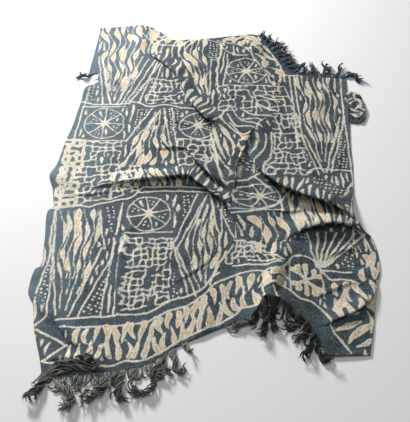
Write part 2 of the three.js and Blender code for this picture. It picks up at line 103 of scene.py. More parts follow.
# Folds: half width on the left and right of the path, lean to its right, and the path's x, y and height
FOLDS = {
    "cross roll": (50, 26, 44, (
        (-500, -78, 5), (-410, -52, 16), (-320, -32, 27), (-220, -18, 32), (-140, -6, 34), (-95, -14, 34),
        (-30, -78, 32), (30, -140, 28), (80, -205, 18), (98, -262, 5))),
    "spine": (52, 23, 40, (
        (262, 330, 6), (196, 258, 14), (148, 180, 20), (98, 50, 22), (84, -40, 22), (82, -140, 20),
        (94, -240, 16), (84, -330, 5))),
    "great ridge": (78, 34, 68, (
        (162, 124, 10), (188, 52, 38), (262, -42, 50), (360, -106, 52), (470, -158, 47), (548, -226, 30),
        (590, -262, 22))),
    "lobe": (60, 29, 50, (
        (240, -350, 10), (296, -302, 26), (356, -268, 36), (430, -252, 40), (510, -266, 34),
        (572, -312, 20))),
    "far crease": (44, 20, 42, (
        (-335, 800, 6), (-229, 700, 14), (-164, 612, 16), (-106, 462, 20), (-66, 396, 29), (-12, 322, 30),
        (20, 280, 4))),
    "border roll": (46, 26, 32, (
        (170, 872, 12), (216, 766, 22), (262, 656, 24), (304, 578, 14), (340, 540, 4))),
    "arch": (66, 72, 0, (
        (170, -650, 50), (188, -566, 44), (212, -480, 28), (248, -398, 14), (290, -340, 5))),
    "lobe crease": (38, 20, 38, (
        (352, -716, 7), (398, -676, 18), (460, -640, 22), (520, -600, 14), (548, -570, 5))),
    "lobe second crease": (30, 28, 0, (
        (478, -500, 4), (520, -520, 12), (542, -560, 10), (538, -620, 4))),
    "left pleat": (24, 14, 14, (
        (-338, -300, 3), (-348, -360, 9), (-352, -500, 11), (-348, -640, 10), (-340, -740, 4))),
    "corner turn": (50, 30, 0, (
        (-668, -604, 5), (-606, -662, 12), (-540, -724, 15), (-470, -800, 16), (-404, -868, 10))),
    "corner wrinkle": (26, 20, 16, (
        (-560, -846, 4), (-500, -836, 12), (-440, -842, 13), (-372, -838, 4))),
    "middle pucker": (30, 18, 20, (
        (-262, 130, 3), (-206, 146, 10), (-150, 150, 13), (-96, 142, 8), (-60, 110, 4))),
    "roll rim": (42, 16, 36, (
        (-134, 160, 3), (-86, 82, 30), (-38, 14, 44), (6, -44, 36), (46, -98, 6))),
    "spine lip": (34, 12, 22, (
        (72, -210, 3), (68, -130, 15), (62, -40, 18), (74, 50, 20), (110, 128, 22), (152, 200, 18),
        (196, 262, 3))),
    "left wave": (70, 60, 0, (
        (-668, -40, 12), (-610, -58, 9), (-540, -70, 4))),
    "right wave": (60, 60, 0, (
        (520, 570, 3), (490, 470, 9), (440, 370, 7), (390, 280, 3))),
    "far wave": (60, 60, 0, (
        (-380, 980, 8), (-372, 860, 9), (-356, 740, 6), (-330, 640, 3))),
    "hem wave": (55, 60, 0, (
        (-60, -760, 6), (-40, -680, 9), (-10, -600, 6), (20, -530, 3))),
    "over the lower layer": (40, 40, 0, (
        (590, 260, 1), (596, 330, 6), (604, 440, 6), (612, 510, 1))),
}
# Small creases, with the same columns
CREASES = (
    (20, 14, 6, ((-150, 196, 1), (-110, 150, 6), (-66, 80, 7), (-30, 30, 1))),
    (18, 14, 6, ((-10, 160, 1), (16, 90, 6), (14, 10, 6), (30, -60, 1))),
    (16, 14, 4, ((130, -20, 1), (148, -100, 6), (138, -190, 6), (150, -260, 1))),
    (18, 14, 6, ((180, -180, 1), (240, -210, 6), (300, -214, 6), (350, -200, 1))),
    (16, 12, 5, ((330, -630, 1), (380, -590, 6), (440, -560, 6), (500, -546, 1))),
    (18, 14, 4, ((400, -440, 1), (450, -410, 6), (500, -400, 6), (550, -420, 1))),
    (16, 14, 3, ((-610, -120, 1), (-540, -130, 5), (-460, -116, 5), (-390, -110, 1))),
    (16, 14, 3, ((-300, -100, 1), (-230, -92, 5), (-170, -100, 5), (-120, -130, 1))),
    (18, 14, 4, ((-520, 180, 1), (-470, 120, 4), (-430, 50, 4), (-410, -10, 1))),
    (20, 16, 4, ((340, 240, 1), (366, 150, 6), (400, 50, 6), (450, -30, 1))),
    (18, 14, 4, ((470, 160, 1), (480, 80, 5), (500, 0, 5), (540, -80, 1))),
    (18, 14, 4, ((100, 560, 1), (150, 500, 5), (210, 460, 5), (280, 440, 1))),
    (18, 14, 4, ((-240, 360, 1), (-190, 310, 5), (-130, 280, 5), (-70, 260, 1))),
    (18, 14, 4, ((20, 860, 1), (60, 790, 4), (80, 700, 4), (90, 620, 1))),
    (22, 14, 6, ((40, -640, 1), (100, -580, 7), (160, -500, 7), (220, -440, 1))),
    (18, 14, 4, ((-180, -560, 1), (-120, -520, 4), (-60, -470, 5), (0, -400, 1))),
    (14, 12, 4, ((-560, -800, 1), (-500, -790, 6), (-430, -800, 7), (-360, -826, 1))),
    (14, 10, 4, ((300, -560, 1), (290, -500, 6), (300, -440, 6), (330, -390, 1))),
    (14, 12, 3, ((480, -800, 1), (500, -740, 4), (506, -680, 5), (530, -620, 1))),
    (20, 16, 3, ((-560, 700, 1), (-500, 640, 4), (-470, 560, 4), (-460, 480, 1))),
)
ALL_FOLDS = metres((*FOLDS.values(), *CREASES))
# Where folds meet, their heights run into each other as much as this power lets them
BLEND_POWER = 3
# Ripples of the cloth: their size and height, how many times longer than wide they are, and what lifts them
RIPPLES = ((0.075, 0.0022), (0.030, 0.0009))
RIPPLE_STRETCH = 1.6
RIPPLE_LIFT = 0.6

# The part of a lower layer that peeks out past the right selvedge: rows of x and y out to its free edge
TAB_ROWS = metres((
    ((576, 296), (606, 288), (640, 290), (664, 318)),
    ((578, 350), (610, 352), (644, 352), (667, 358)),
    ((582, 400), (612, 404), (646, 402), (670, 400)),
    ((586, 444), (614, 448), (646, 450), (668, 446)),
    ((590, 480), (612, 494), (640, 498), (666, 470)),
))
TAB_ACROSS = 33
TAB_ALONG = 65
# Its crumples: their size across and along, their seed and their share
TAB_CRUMPLES = ((0.03, 0.06, 3, 1), (0.012, 0.03, 8, 0.5))

# Tassels: the width of hem that each one comes from, its cords, and its path from the hem to its tip
TASSELS = {
    "fringe_near_left": (
        (46, 13, ((-558, -912), (-579, -950), (-591, -977), (-599, -1002))),
        (50, 13, ((-517, -916), (-508, -950), (-478, -971), (-468, -994), (-480, -1013), (-508, -1011))),
        (26, 5, ((-468, -909), (-457, -947), (-461, -965))),
        (56, 14, ((-392, -902), (-374, -950), (-402, -977), (-428, -989), (-447, -1001))),
        (30, 8, ((-345, -896), (-336, -940), (-319, -974), (-292, -992))),
        (26, 8, ((-318, -892), (-324, -940), (-328, -971), (-331, -998))),
        (30, 8, ((-234, -870), (-216, -920), (-222, -956), (-240, -973), (-269, -969), (-286, -950))),
        (22, 5, ((-284, -884), (-289, -920), (-284, -950), (-258, -958))),
        (24, 6, ((-200, -850), (-207, -885), (-215, -902), (-203, -916), (-187, -906), (-194, -888))),
        (30, 8, ((-160, -820), (-148, -862), (-147, -886), (-128, -897), (-106, -885))),
        (22, 5, ((-180, -836), (-184, -878), (-170, -897), (-147, -898))),
        (34, 7, ((-550, -908), (-542, -920), (-516, -902), (-470, -886), (-420, -888), (-382, -880))),
        (30, 8, ((-572, -904), (-566, -914), (-540, -884), (-500, -860), (-452, -856), (-412, -838))),
        (30, 6, ((-562, -906), (-556, -918), (-530, -892), (-486, -870), (-440, -872), (-396, -858))),
        (22, 6, ((-117, -794), (-108, -820), (-95, -835))),
    ),
    "fringe_near_middle": (
        (24, 8, ((104, -700), (100, -712), (77, -722), (48, -746))),
        (18, 5, ((128, -672), (126, -700), (97, -722))),
        (24, 12, ((146, -650), (160, -702), (152, -741), (122, -777))),
    ),
    "fringe_near_right": (
        (26, 10, ((176, -634), (186, -680), (182, -712), (186, -756))),
        (30, 5, ((222, -652), (244, -680), (266, -704), (275, -730))),
        (34, 9, ((262, -684), (268, -718), (239, -738), (207, -734))),
        (30, 10, ((284, -710), (299, -730), (285, -764), (242, -786))),
        (30, 10, ((308, -744), (316, -770), (302, -806), (279, -838), (276, -861))),
        (30, 9, ((326, -780), (322, -810), (328, -840), (339, -861), (354, -849), (342, -832))),
    ),
    "fringe_far_right": (
        (24, 5, ((220, 920), (244, 944), (226, 944))),
        (24, 6, ((234, 890), (252, 922), (243, 953))),
        (26, 7, ((246, 866), (268, 894), (278, 929))),
        (26, 7, ((258, 840), (294, 862), (322, 878))),
        (26, 7, ((270, 812), (312, 830), (342, 852))),
        (26, 7, ((282, 786), (324, 792), (358, 812))),
        (26, 7, ((294, 760), (340, 764), (370, 776))),
        (26, 7, ((308, 732), (352, 736), (383, 744))),
        (26, 7, ((322, 702), (364, 710), (388, 726))),
        (26, 7, ((336, 672), (382, 684), (406, 698))),
        (28, 7, ((360, 648), (400, 668), (430, 686))),
        (30, 7, ((402, 628), (424, 656), (436, 688))),
        (26, 7, ((446, 616), (462, 664), (462, 708))),
        (18, 4, ((476, 612), (478, 646), (470, 682))),
        (26, 7, ((512, 610), (526, 664), (524, 706))),
        (18, 4, ((536, 608), (542, 650), (550, 690))),
        (24, 6, ((566, 606), (590, 650), (600, 702))),
        (34, 12, ((592, 604), (638, 622), (664, 600), (672, 564))),
    ),
    "fringe_far_left": (
        (40, 9, ((-596, 624), (-612, 612), (-634, 604), (-656, 610))),
    ),
}
# Cords that lie by themselves: how many, the shares of the hem between which they start, and their
# shortest and longest in metres
LOOSE = {
    "fringe_near_left": (44, 0.00, 0.31, 0.035, 0.075),
    "fringe_near_middle": (9, 0.50, 0.63, 0.020, 0.060),
    "fringe_near_right": (18, 0.64, 0.86, 0.025, 0.075),
    "fringe_far_right": (70, 0.60, 0.98, 0.024, 0.050),
    "fringe_far_left": (18, 0.02, 0.95, 0.050, 0.080),
}
# A cord is gathered into its tassel, and has come down to the floor, by these shares of its length
GATHERED = 0.42
FALL_SHARE = 0.6
# The length in which a tassel's cords turn once about each other, and a cord's plies about each other
ROPE_TURN = 0.075
CORD_TURN = 0.012
CORD_RADIUS = 0.0026
CORD_STEP = 0.002
LOOSE_STEPS = 40
CORD_SIDES = 8
CORD_LOBE = 0.2
ROOT_DEPTH = 0.0012
OVER_CLOTH = 0.002
HAIRS = 4
HAIR_RADIUS = 0.0007
HAIR_HEIGHT = 0.0006
YARN = 0.0012

# The resist drawing is laid out from a place of its own: the cloth's places plus this are the drawing's
DRAWN_FROM = np.array([0.05, 1.85])
# Half widths of its lines, the distance at which lines run together, and the pitch of its dots
LINE = 0.0032
FINE = 0.0025
TIP = 0.0021
MELT = 0.004
PITCH = 0.0168
# The sizes of the waves that make it look drawn by hand, and their sway
WOBBLES = ((0.045, 0.005), (0.013, 0.0024))
# The value where no line is near, and the squares in which places are looked up
BARE = 0.02
CELL = 0.02
OUTLINE_SQUARE = 0.014
SQUARES_IN_ROW = 4096
# A design's corners go up its right side and back down its left one, in the way in which it runs.
# Bands of the border, with their number of teeth
BORDER = (
    (((-460, 985), (-170, 1008), (-170, 1150), (-450, 1105)), 9),
    (((-170, 1008), (-60, 1078), (-60, 1200), (-170, 1150)), 4),
    (((-60, 1078), (40, 1124), (40, 1280), (-60, 1200)), 3),
    (((40, 1124), (130, 1190), (120, 1320), (40, 1280)), 3),
    (((130, 1190), (200, 1195), (215, 1335), (120, 1320)), 2),
    (((210, 1275), (300, 1255), (290, 1355), (215, 1335)), 2),
    (((440, 1170), (550, 1190), (550, 1295), (430, 1300)), 3),
    (((555, 1190), (610, 1200), (630, 1310), (560, 1300)), 2),
    (((560, 1300), (630, 1310), (630, 1440), (570, 1410)), 2),
    (((80, 2740), (200, 2700), (250, 2760), (200, 2790)), 3),
    (((210, 2660), (300, 2700), (270, 2790), (200, 2700)), 3),
    (((270, 2560), (340, 2600), (300, 2700), (210, 2660)), 3),
    (((310, 2450), (380, 2490), (340, 2600), (270, 2560)), 2),
    (((320, 2400), (370, 2400), (380, 2490), (310, 2450)), 2),
)
# Bundles of flames, with their number of rays, the beats along a ray and the first beat's share.
# A ray is left out where the rays are closer together than its own gap
RAY_GAPS = (0.0045, 0.0135, 0.0085, 0.0135)
FLAMES = (
    (((-500, 1170), (-474, 1170), (-405, 1400), (-395, 1645), (-565, 1635), (-545, 1400)), 7, 2.9, 0.0),
    (((-20, 1265), (10, 1280), (50, 1450), (35, 1700), (-5, 1700), (-85, 1450)), 6, 2.7, 0.0),
    (((200, 1430), (300, 1430), (300, 1650), (180, 1590)), 4, 1.3, 0.1),
    (((340, 1560), (570, 1570), (595, 1660), (350, 1750)), 9, 0.8, 0.1),
    (((-370, 1880), (-130, 1900), (-185, 2210), (-225, 2210)), 7, 1.9, 0.3),
    (((-340, 1765), (-100, 1770), (-130, 1860), (-350, 1850)), 9, 0.6, 0.0),
    (((-435, 2275), (-410, 2275), (-330, 2410), (-300, 2870), (-520, 2850), (-475, 2410)), 7, 3.6, 0.2),
    (((-20, 2330), (20, 2330), (10, 2740), (-170, 2740)), 5, 2.4, 0.0),
    (((492, 1865), (506, 1865), (585, 2100), (600, 2465), (430, 2465), (440, 2100)), 7, 3.4, 0.1),
    (((-300, 2620), (-200, 2640), (-180, 2740), (-310, 2860)), 4, 0.8, 0.1),
)
# Meanders, with their knots across and along, and the shares of the net's lines in them and in patches
MAZE_SHARE = 0.76
PATCH_SHARE = 0.86
MAZES = (
    (((-290, 1180), (-130, 1215), (-120, 1500), (-285, 1500)), 7, 12),
    (((70, 1385), (290, 1385), (200, 1480), (110, 1490)), 8, 4),
    (((-515, 1665), (-370, 1700), (-355, 2020), (-515, 2020)), 5, 12),
    (((-110, 1880), (30, 1900), (20, 2030), (-120, 2040)), 5, 4),
    (((295, 1830), (420, 1830), (410, 2200), (300, 2200)), 5, 12),
    (((-270, 2270), (-100, 2270), (-110, 2440), (-250, 2440)), 6, 6),
    (((60, 2215), (400, 2215), (370, 2395), (70, 2395)), 9, 5),
    (((-380, 1690), (-270, 1740), (-270, 1880), (-370, 1880)), 4, 5),
)
# Cream with blue spots left in it, with its knots and its lines' half width
PATCHES = (
    (((-600, 1650), (-515, 1660), (-515, 2030), (-590, 2030)), 3, 12, 6.2),
    (((-316, 1430), (-298, 1430), (-292, 1505), (-322, 1505)), 1, 3, 5),
)
# Blocks with a wheel, with the share of the block in front of it and the wheel's turn
BLOCKS = (
    (((-315, 1520), (-125, 1530), (-120, 1720), (-315, 1715)), 0.0, 0.2),
    (((-540, 2030), (-345, 2030), (-340, 2245), (-545, 2245)), 0.0, 0.0),
    (((90, 2400), (300, 2400), (300, 2610), (100, 2610)), 0.0, 0.35),
    (((-120, 2040), (60, 2030), (60, 2210), (-120, 2215)), 0.0, 0.3),
    (((130, 1640), (310, 1640), (310, 1780), (130, 1780)), 0.0, 0.4),
)
# Bands of dots
DOTS = metres((
    ((-595, 1255), (-550, 1180), (-560, 1390), (-580, 1400)),
    ((-435, 1165), (-362, 1165), (-335, 1350), (-345, 1375)),
    ((-375, 1560), (-345, 1500), (-345, 1670), (-395, 1655)),
    ((-125, 1220), (-85, 1235), (-110, 1360), (-125, 1360)),
    ((-95, 1590), (-70, 1600), (-40, 1720), (-95, 1720)),
    ((85, 1540), (110, 1560), (95, 1690), (50, 1710)),
    ((350, 1500), (385, 1460), (395, 1520), (350, 1530)),
    ((490, 1365), (550, 1355), (555, 1490), (535, 1500)),
    ((-370, 1720), (-270, 1750), (-260, 1850), (-350, 1850)),
    ((150, 1860), (230, 1820), (220, 1960), (170, 1940)),
    ((-325, 2060), (-295, 2060), (-240, 2230), (-310, 2240)),
    ((-155, 2060), (-120, 2060), (-110, 2240), (-175, 2240)),
    ((-550, 2285), (-500, 2285), (-505, 2400), (-545, 2380)),
    ((-385, 2275), (-340, 2275), (-240, 2440), (-265, 2460)),
    ((5, 2600), (55, 2560), (80, 2700), (15, 2730)),
    ((415, 1930), (465, 1850), (425, 2050), (412, 2050)),
    ((535, 1860), (600, 1860), (610, 2120), (590, 2120)),
    ((430, 1790), (560, 1700), (580, 1740), (440, 1830)),
    ((310, 2320), (355, 2320), (355, 2385), (310, 2385)),
))
# Bands of lines, with their number
STRIPES = (
    (((-545, 1160), (-515, 1160), (-560, 1410), (-578, 1630)), 2),
    (((-470, 1160), (-436, 1160), (-350, 1400), (-385, 1450)), 2),
    (((-362, 1160), (-315, 1165), (-318, 1480), (-340, 1480)), 2),
    (((-375, 1450), (-345, 1400), (-345, 1500), (-410, 1640)), 2),
    (((-120, 1470), (-105, 1450), (10, 1720), (-30, 1720)), 2),
    (((-60, 1245), (-30, 1240), (-105, 1450), (-120, 1470)), 2),
    (((60, 1450), (110, 1500), (60, 1640), (20, 1720)), 2),
    (((20, 1285), (35, 1340), (80, 1440), (60, 1450)), 2),
    (((300, 1480), (340, 1500), (335, 1720), (300, 1680)), 2),
    (((405, 1365), (440, 1365), (610, 1520), (390, 1530)), 7),
    (((340, 1540), (400, 1550), (420, 1700), (350, 1720)), 3),
    (((-340, 2020), (-330, 1900), (-200, 2230), (-235, 2240)), 2),
    (((-130, 1900), (-110, 1900), (-150, 2240), (-185, 2240)), 2),
    (((-460, 2265), (-430, 2265), (-500, 2600), (-515, 2600)), 2),
    (((-400, 2265), (-345, 2265), (-210, 2560), (-300, 2600)), 4),
    (((-300, 2280), (-270, 2280), (-200, 2560), (-230, 2560)), 2),
    (((20, 2330), (60, 2340), (60, 2600), (30, 2600)), 2),
    (((50, 2400), (85, 2400), (115, 2620), (80, 2700)), 2),
    (((400, 2050), (420, 2050), (420, 2465), (400, 2465)), 2),
    (((500, 1840), (520, 1840), (620, 2180), (600, 2180)), 2),
    (((470, 1830), (490, 1840), (430, 2060), (415, 2060)), 2),
    (((200, 1840), (280, 1800), (290, 2080), (240, 2060)), 3),
    (((60, 2160), (240, 2080), (290, 2190), (120, 2260)), 2),
    (((60, 1760), (130, 1760), (60, 1940), (0, 1960)), 3),
    (((60, 1500), (120, 1500), (130, 1720), (70, 1700)), 2),
    (((560, 1480), (600, 1440), (600, 1560), (580, 1600)), 2),
    (((420, 1830), (560, 1720), (600, 1780), (440, 1850)), 2),
)
# Single lines
LINES = metres((
    ((-530, 990), (-450, 977), (-350, 969), (-300, 978), (-260, 992), (-220, 992), (-160, 1016),
     (-120, 1043), (-50, 1084), (0, 1108), (50, 1128), (100, 1160), (130, 1200)),
    ((130, 1190), (135, 1260), (130, 1320)),
    ((130, 1192), (200, 1196), (205, 1260), (250, 1280), (300, 1252), (330, 1222), (370, 1214),
     (405, 1185), (420, 1140), (440, 1090), (465, 1045), (480, 1018)),
    ((-490, 1115), (-450, 1110), (-400, 1120), (-300, 1122), (-250, 1127), (-200, 1140), (-150, 1168),
     (-100, 1190), (-50, 1212), (0, 1250), (50, 1300), (100, 1325), (150, 1342), (200, 1342), (270, 1345),
     (290, 1362), (330, 1415), (380, 1410), (420, 1355), (450, 1312), (500, 1312), (550, 1295)),
    ((-510, 1140), (-450, 1150), (-350, 1160), (-280, 1165), (-200, 1172), (-150, 1205), (-100, 1230),
     (-50, 1245), (0, 1280), (20, 1310), (50, 1340)),
    ((100, 1372), (200, 1372), (280, 1374)),
    ((420, 1350), (480, 1345), (530, 1340)),
    ((-595, 1250), (-585, 1330), (-575, 1420), (-585, 1520), (-585, 1640)),
    ((-580, 1122), (-555, 1150), (-545, 1160)),
    ((-575, 1110), (-520, 1080), (-465, 1050)),
    ((-535, 992), (-500, 1020), (-460, 1050)),
    ((-600, 1655), (-500, 1662), (-460, 1655), (-420, 1670), (-360, 1685), (-300, 1702), (-270, 1730),
     (-250, 1757), (-200, 1757), (-100, 1762), (0, 1752), (60, 1740)),
    ((-260, 1730), (-200, 1738), (-100, 1735), (0, 1732), (80, 1720)),
    ((120, 1610), (160, 1622), (200, 1636), (250, 1656), (300, 1684), (340, 1740)),
    ((-560, 2280), (-530, 2272), (-500, 2262), (-450, 2264), (-400, 2262), (-350, 2272), (-320, 2282),
     (-300, 2274), (-270, 2255), (-240, 2250), (-200, 2260), (-150, 2255), (-100, 2242), (-50, 2232),
     (0, 2220)),
    ((-550, 2250), (-450, 2246), (-360, 2250)),
    ((420, 1840), (460, 1862), (520, 1855), (600, 1850)),
    ((-575, 1640), (-585, 1800), (-575, 1950), (-565, 2060), (-545, 2280), (-535, 2380)),
    ((590, 1620), (605, 1850), (615, 2100), (625, 2300), (640, 2460)),
    ((70, 2700), (120, 2640), (160, 2620), (210, 2620)),
    ((60, 2740), (100, 2720), (160, 2700), (200, 2680), (240, 2600), (290, 2500), (310, 2420)),
    ((270, 2800), (300, 2720), (340, 2600), (375, 2490), (380, 2420)),
    ((380, 2470), (460, 2475), (550, 2480), (630, 2475)),
    ((620, 1440), (600, 1500), (570, 1560)),
    ((640, 2300), (655, 2265), (690, 2290), (705, 2250), (680, 2235)),
    ((645, 2250), (670, 2220), (695, 2205), (680, 2170), (660, 2190)),
    ((690, 2290), (680, 2320), (700, 2335)),
    ((680, 2235), (670, 2220)),
))
# Single flames: half widths along them, and places
THIN = (3, 3.4)
SINGLES = (
    ((3, 13, 4), ((652, 2332), (682, 2346), (708, 2326))),
    ((2.6, 2.6), ((655, 2290), (690, 2300), (712, 2270), (690, 2250), (712, 2220))),
    ((2.6, 2.6), ((650, 2200), (680, 2190), (700, 2200))),
    ((3, 12, 6), ((446, 1105), (485, 1119), (531, 1136))),
    ((3, 8, 13, 8), ((476, 1053), (493, 1077), (525, 1103), (562, 1123))),
    ((3, 9, 3), ((447, 1160), (489, 1169), (530, 1173))),
    ((3, 9, 3), ((434, 1187), (473, 1221), (503, 1270))),
    ((3, 8, 3), ((559, 1174), (571, 1141), (564, 1096))),
    ((3, 10, 3), ((505, 1040), (541, 1058), (560, 1071))),
    ((3, 7, 3), ((493, 1194), (537, 1214), (565, 1249))),
    ((3, 8, 3), ((569, 1235), (581, 1201), (588, 1174))),
    ((3, 9, 3), ((35, 2140), (50, 2040), (85, 1920))),
    ((3, 11, 4, 12, 3), ((60, 2140), (100, 2060), (125, 1990), (130, 1910))),
    ((3, 4, 17, 3), ((110, 2140), (150, 2075), (175, 2045), (195, 1985))),
    ((3, 8, 3), ((20, 2080), (40, 1980), (60, 1880))),
    (THIN, ((70, 2190), (110, 2110), (150, 2070), (200, 2075))),
    (THIN, ((100, 2200), (140, 2120), (200, 2120), (235, 2080))),
    (THIN, ((120, 2240), (160, 2160), (220, 2140), (260, 2100))),
    (THIN, ((170, 2165), (240, 2170), (265, 2130))),
    (THIN, ((160, 2240), (200, 2200), (300, 2190))),
    (THIN, ((230, 2200), (232, 2280))),
    ((3, 6, 3), ((240, 2270), (290, 2230), (310, 2220))),
    (THIN, ((250, 2320), (300, 2300), (340, 2285))),
    (THIN, ((140, 1770), (200, 1820), (260, 1860))),
    (THIN, ((200, 1820), (270, 1740))),
    (THIN, ((-285, 2850), (-235, 2730), (-180, 2770))),
    (THIN, ((-270, 2820), (-215, 2760), (-190, 2800))),
    (THIN, ((-320, 2800), (-250, 2700), (-230, 2620))),
    (THIN, ((-220, 2700), (-130, 2690))),
    (THIN, ((-130, 2600), (-120, 2680), (-70, 2750))),
    (THIN, ((-160, 2600), (-155, 2700), (-130, 2750))),
    (THIN, ((-100, 2620), (-85, 2690), (-40, 2745))),
    (THIN, ((55, 2500), (90, 2700), (100, 2740))),
    (THIN, ((0, 2750), (60, 2720), (100, 2700))),
    (THIN, ((140, 2690), (140, 2620))),
)
# Parts that stay plain: the hems and the selvedges
PLAIN = metres((
    ((-540, 940), (-160, 960), (-160, 985), (-540, 975)),
    ((-160, 960), (130, 1090), (130, 1190), (-160, 1000)),
    ((100, 1100), (240, 1180), (210, 1265), (130, 1180)),
    ((240, 1150), (400, 1000), (420, 1160), (260, 1262)),
    ((360, 980), (570, 970), (500, 1025), (410, 1160)),
    ((30, 1345), (100, 1345), (90, 1420), (60, 1420)),
    ((400, 2480), (680, 2480), (680, 2560), (400, 2560)),
    ((330, 2450), (400, 2450), (250, 2800), (290, 2800)),
    ((600, 1600), (640, 1600), (700, 2480), (645, 2480)),
    ((-660, 1640), (-605, 1640), (-580, 2040), (-640, 2040)),
    ((-600, 2040), (-565, 2040), (-540, 2400), (-600, 2400)),
    ((-640, 1200), (-605, 1200), (-595, 1640), (-660, 1640)),
    ((-580, 1110), (-500, 1070), (-470, 1100), (-540, 1145)),
    ((335, 1360), (380, 1440), (370, 1500), (330, 1480)),
))
CROSS = metres(((300, 1260), (420, 1230), (420, 1350), (310, 1390)))
# The flames that fill the gaps: the part of the drawing that is searched and its step, how far cream is
# looked for, the room that a flame needs at its middle and its ends, and its greatest half length
FILL_ACROSS = (-0.70, 0.70)
FILL_ALONG = (0.94, 2.90)
FILL_STEP = 0.007
FILL_SIGHT = 0.03
FILL_ROOM = 0.0145
FILL_END_ROOM = 0.011
FILL_LONGEST = 0.085
FILL_FEWEST_ROWS = 3
FILL_MARGIN = 0.004
# Stains, in metres: middle, stretch and radius
STAINS = (
    ((-0.479, -0.157), (1, 1), 0.014),
    ((-0.321, -0.285), (0.9, 0.5), 0.0),
    ((-0.455, -0.860), (0.5, 1), 0.0),
)


# The points of a curve count as at least this far apart
SHORTEST = 1e-6


def lengths_along(line):
    """The length of a line up to each of its points."""
    return np.append(0, np.cumsum(np.linalg.norm(np.diff(line, axis=0), axis=1)))


def curve_through(points, steps=24):
    """Places along a smooth curve through the points, and the share of its length at each."""
    points = np.array(points, float)
    padded = np.vstack([2 * points[0] - points[1], points, 2 * points[-1] - points[-2]])
    t = np.linspace(0, 1, steps, endpoint=False)[:, None]
    places = []
    for a, b, c, d in zip(padded, padded[1:], padded[2:], padded[3:]):
        spans = [np.linalg.norm(q - p) for p, q in ((a, b), (b, c), (c, d))]
        before, here, after = (max(span, SHORTEST) ** 0.5 for span in spans)
        leave = here * ((b - a) / before - (c - a) / (before + here) + (c - b) / here)
        reach = here * ((c - b) / here - (d - b) / (here + after) + (d - c) / after)
        places.append(
            (2 * t**3 - 3 * t**2 + 1) * b
            + (t**3 - 2 * t**2 + t) * leave
            + (3 * t**2 - 2 * t**3) * c
            + (t**3 - t**2) * reach
        )
    places = np.vstack([*places, points[-1:]])
    lengths = lengths_along(places)
    return places, lengths / lengths[-1]


def at_share(curve, shares):
    """Places at these shares of a curve's length."""
    places, known = curve
    return np.stack([np.interp(shares, known, places[:, k]) for k in range(places.shape[1])], axis=-1)


def smooth(low, high, value):
    """0 up to low, 1 from high on, and a soft rise between them."""
    share = np.clip((value - low) / (high - low), 0, 1)
    return share * share * (3 - 2 * share)


def ridge(places, left, right, path):
    """Share of its height that a fold has at each place, that height, and the way to the path's right."""
    crest = curve_through(path, 12)[0]
    start, step = crest[:-1, :2], np.diff(crest[:, :2], axis=0)
    share, height, way = np.zeros(len(places)), np.zeros(len(places)), np.zeros((len(places), 2))
    room = max(left, right)
    near = ((places > crest[:, :2].min(0) - room) & (places < crest[:, :2].max(0) + room)).all(1)
    if not near.any():
        return share, height, way
    offset = places[near, None] - start
    along = np.clip((offset * step).sum(2) / (step**2).sum(1), 0, 1)
    away = offset - along[..., None] * step
    distance = np.linalg.norm(away, axis=2)
    best = distance.argmin(1)
    row = np.arange(len(best))
    ahead = step[best]
    left_side = ahead[:, 0] * offset[row, best, 1] - ahead[:, 1] * offset[row, best, 0] > 0
    q = np.minimum(distance[row, best] / np.where(left_side, left, right), 1)
    share[near] = (1 - q) ** 2 * (1 + 2 * q)
    height[near] = crest[best, 2] + along[row, best] * (crest[best + 1, 2] - crest[best, 2])
    length = np.linalg.norm(ahead, axis=1)
    way[near] = np.stack([ahead[:, 1], -ahead[:, 0]], axis=1) / length[:, None]
    return share, height, way


def layer_height(places):
    """Height of the upper layer over the tucked end and its fringe."""
    across = (places[:, 0] - FLAP_CORNER[0]) / (FLAP_END[0] - FLAP_CORNER[0])
    hem = FLAP_CORNER[1] + across * (FLAP_END[1] - FLAP_CORNER[1])
    over = smooth(hem - FLAP_FRINGE_ROOM - LAYER_RAMP, hem - FLAP_FRINGE_ROOM, places[:, 1])
    beside = 1 - smooth(FLAP_END[0] + LAYER_SIDE[0], FLAP_END[0] + LAYER_SIDE[1], places[:, 0])
    return 2 * TURN_RADIUS * over * beside


def cloth_shape(places):
    """Height of the cloth over each place on the floor, and how far its folds lean there."""
    power = np.zeros(len(places))
    lean = np.zeros((len(places), 2))
    for left, right, leaning, path in ALL_FOLDS:
        share, height, way = ridge(places, left, right, path)
        power += (share * height) ** BLEND_POWER
        lean += way * (share * leaning * height / max(p[2] for p in path))[:, None]
    ripple = np.zeros(len(places))
    for size, swell in RIPPLES:
        bumps = [noise.noise((x / size, y / size / RIPPLE_STRETCH, size)) + RIPPLE_LIFT for x, y in places]
        ripple += swell * np.array(bumps)
    return power ** (1 / BLEND_POWER) + layer_height(places) + np.maximum(ripple, 0), lean


def laid_places(across, along):
    """Where points at shares of the width and length lie: rows of x, y and the hem's lift."""
    chord_left, chord_right = (at_share(curve_through(edge), along) for edge in (LEFT_EDGE, RIGHT_EDGE))
    near, far = (at_share(curve_through(edge), across) for edge in (NEAR_HEM, FAR_EDGE))
    a = across[None, :, None]
    places = chord_left[:, None] * (1 - a) + chord_right[:, None] * a
    near_gap, far_gap = near - places[0], far - places[-1]
    near_pull = np.maximum(1 - along / NEAR_REACH, 0) ** 2
    far_pull = np.maximum(1 - (1 - along) / FAR_REACH, 0) ** 2
    return places + near_gap * near_pull[:, None, None] + far_gap * far_pull[:, None, None]


def unit(rows):
    """Rows of vectors with a length of one."""
    return rows / np.maximum(np.linalg.norm(rows, axis=-1, keepdims=True), 1e-9)


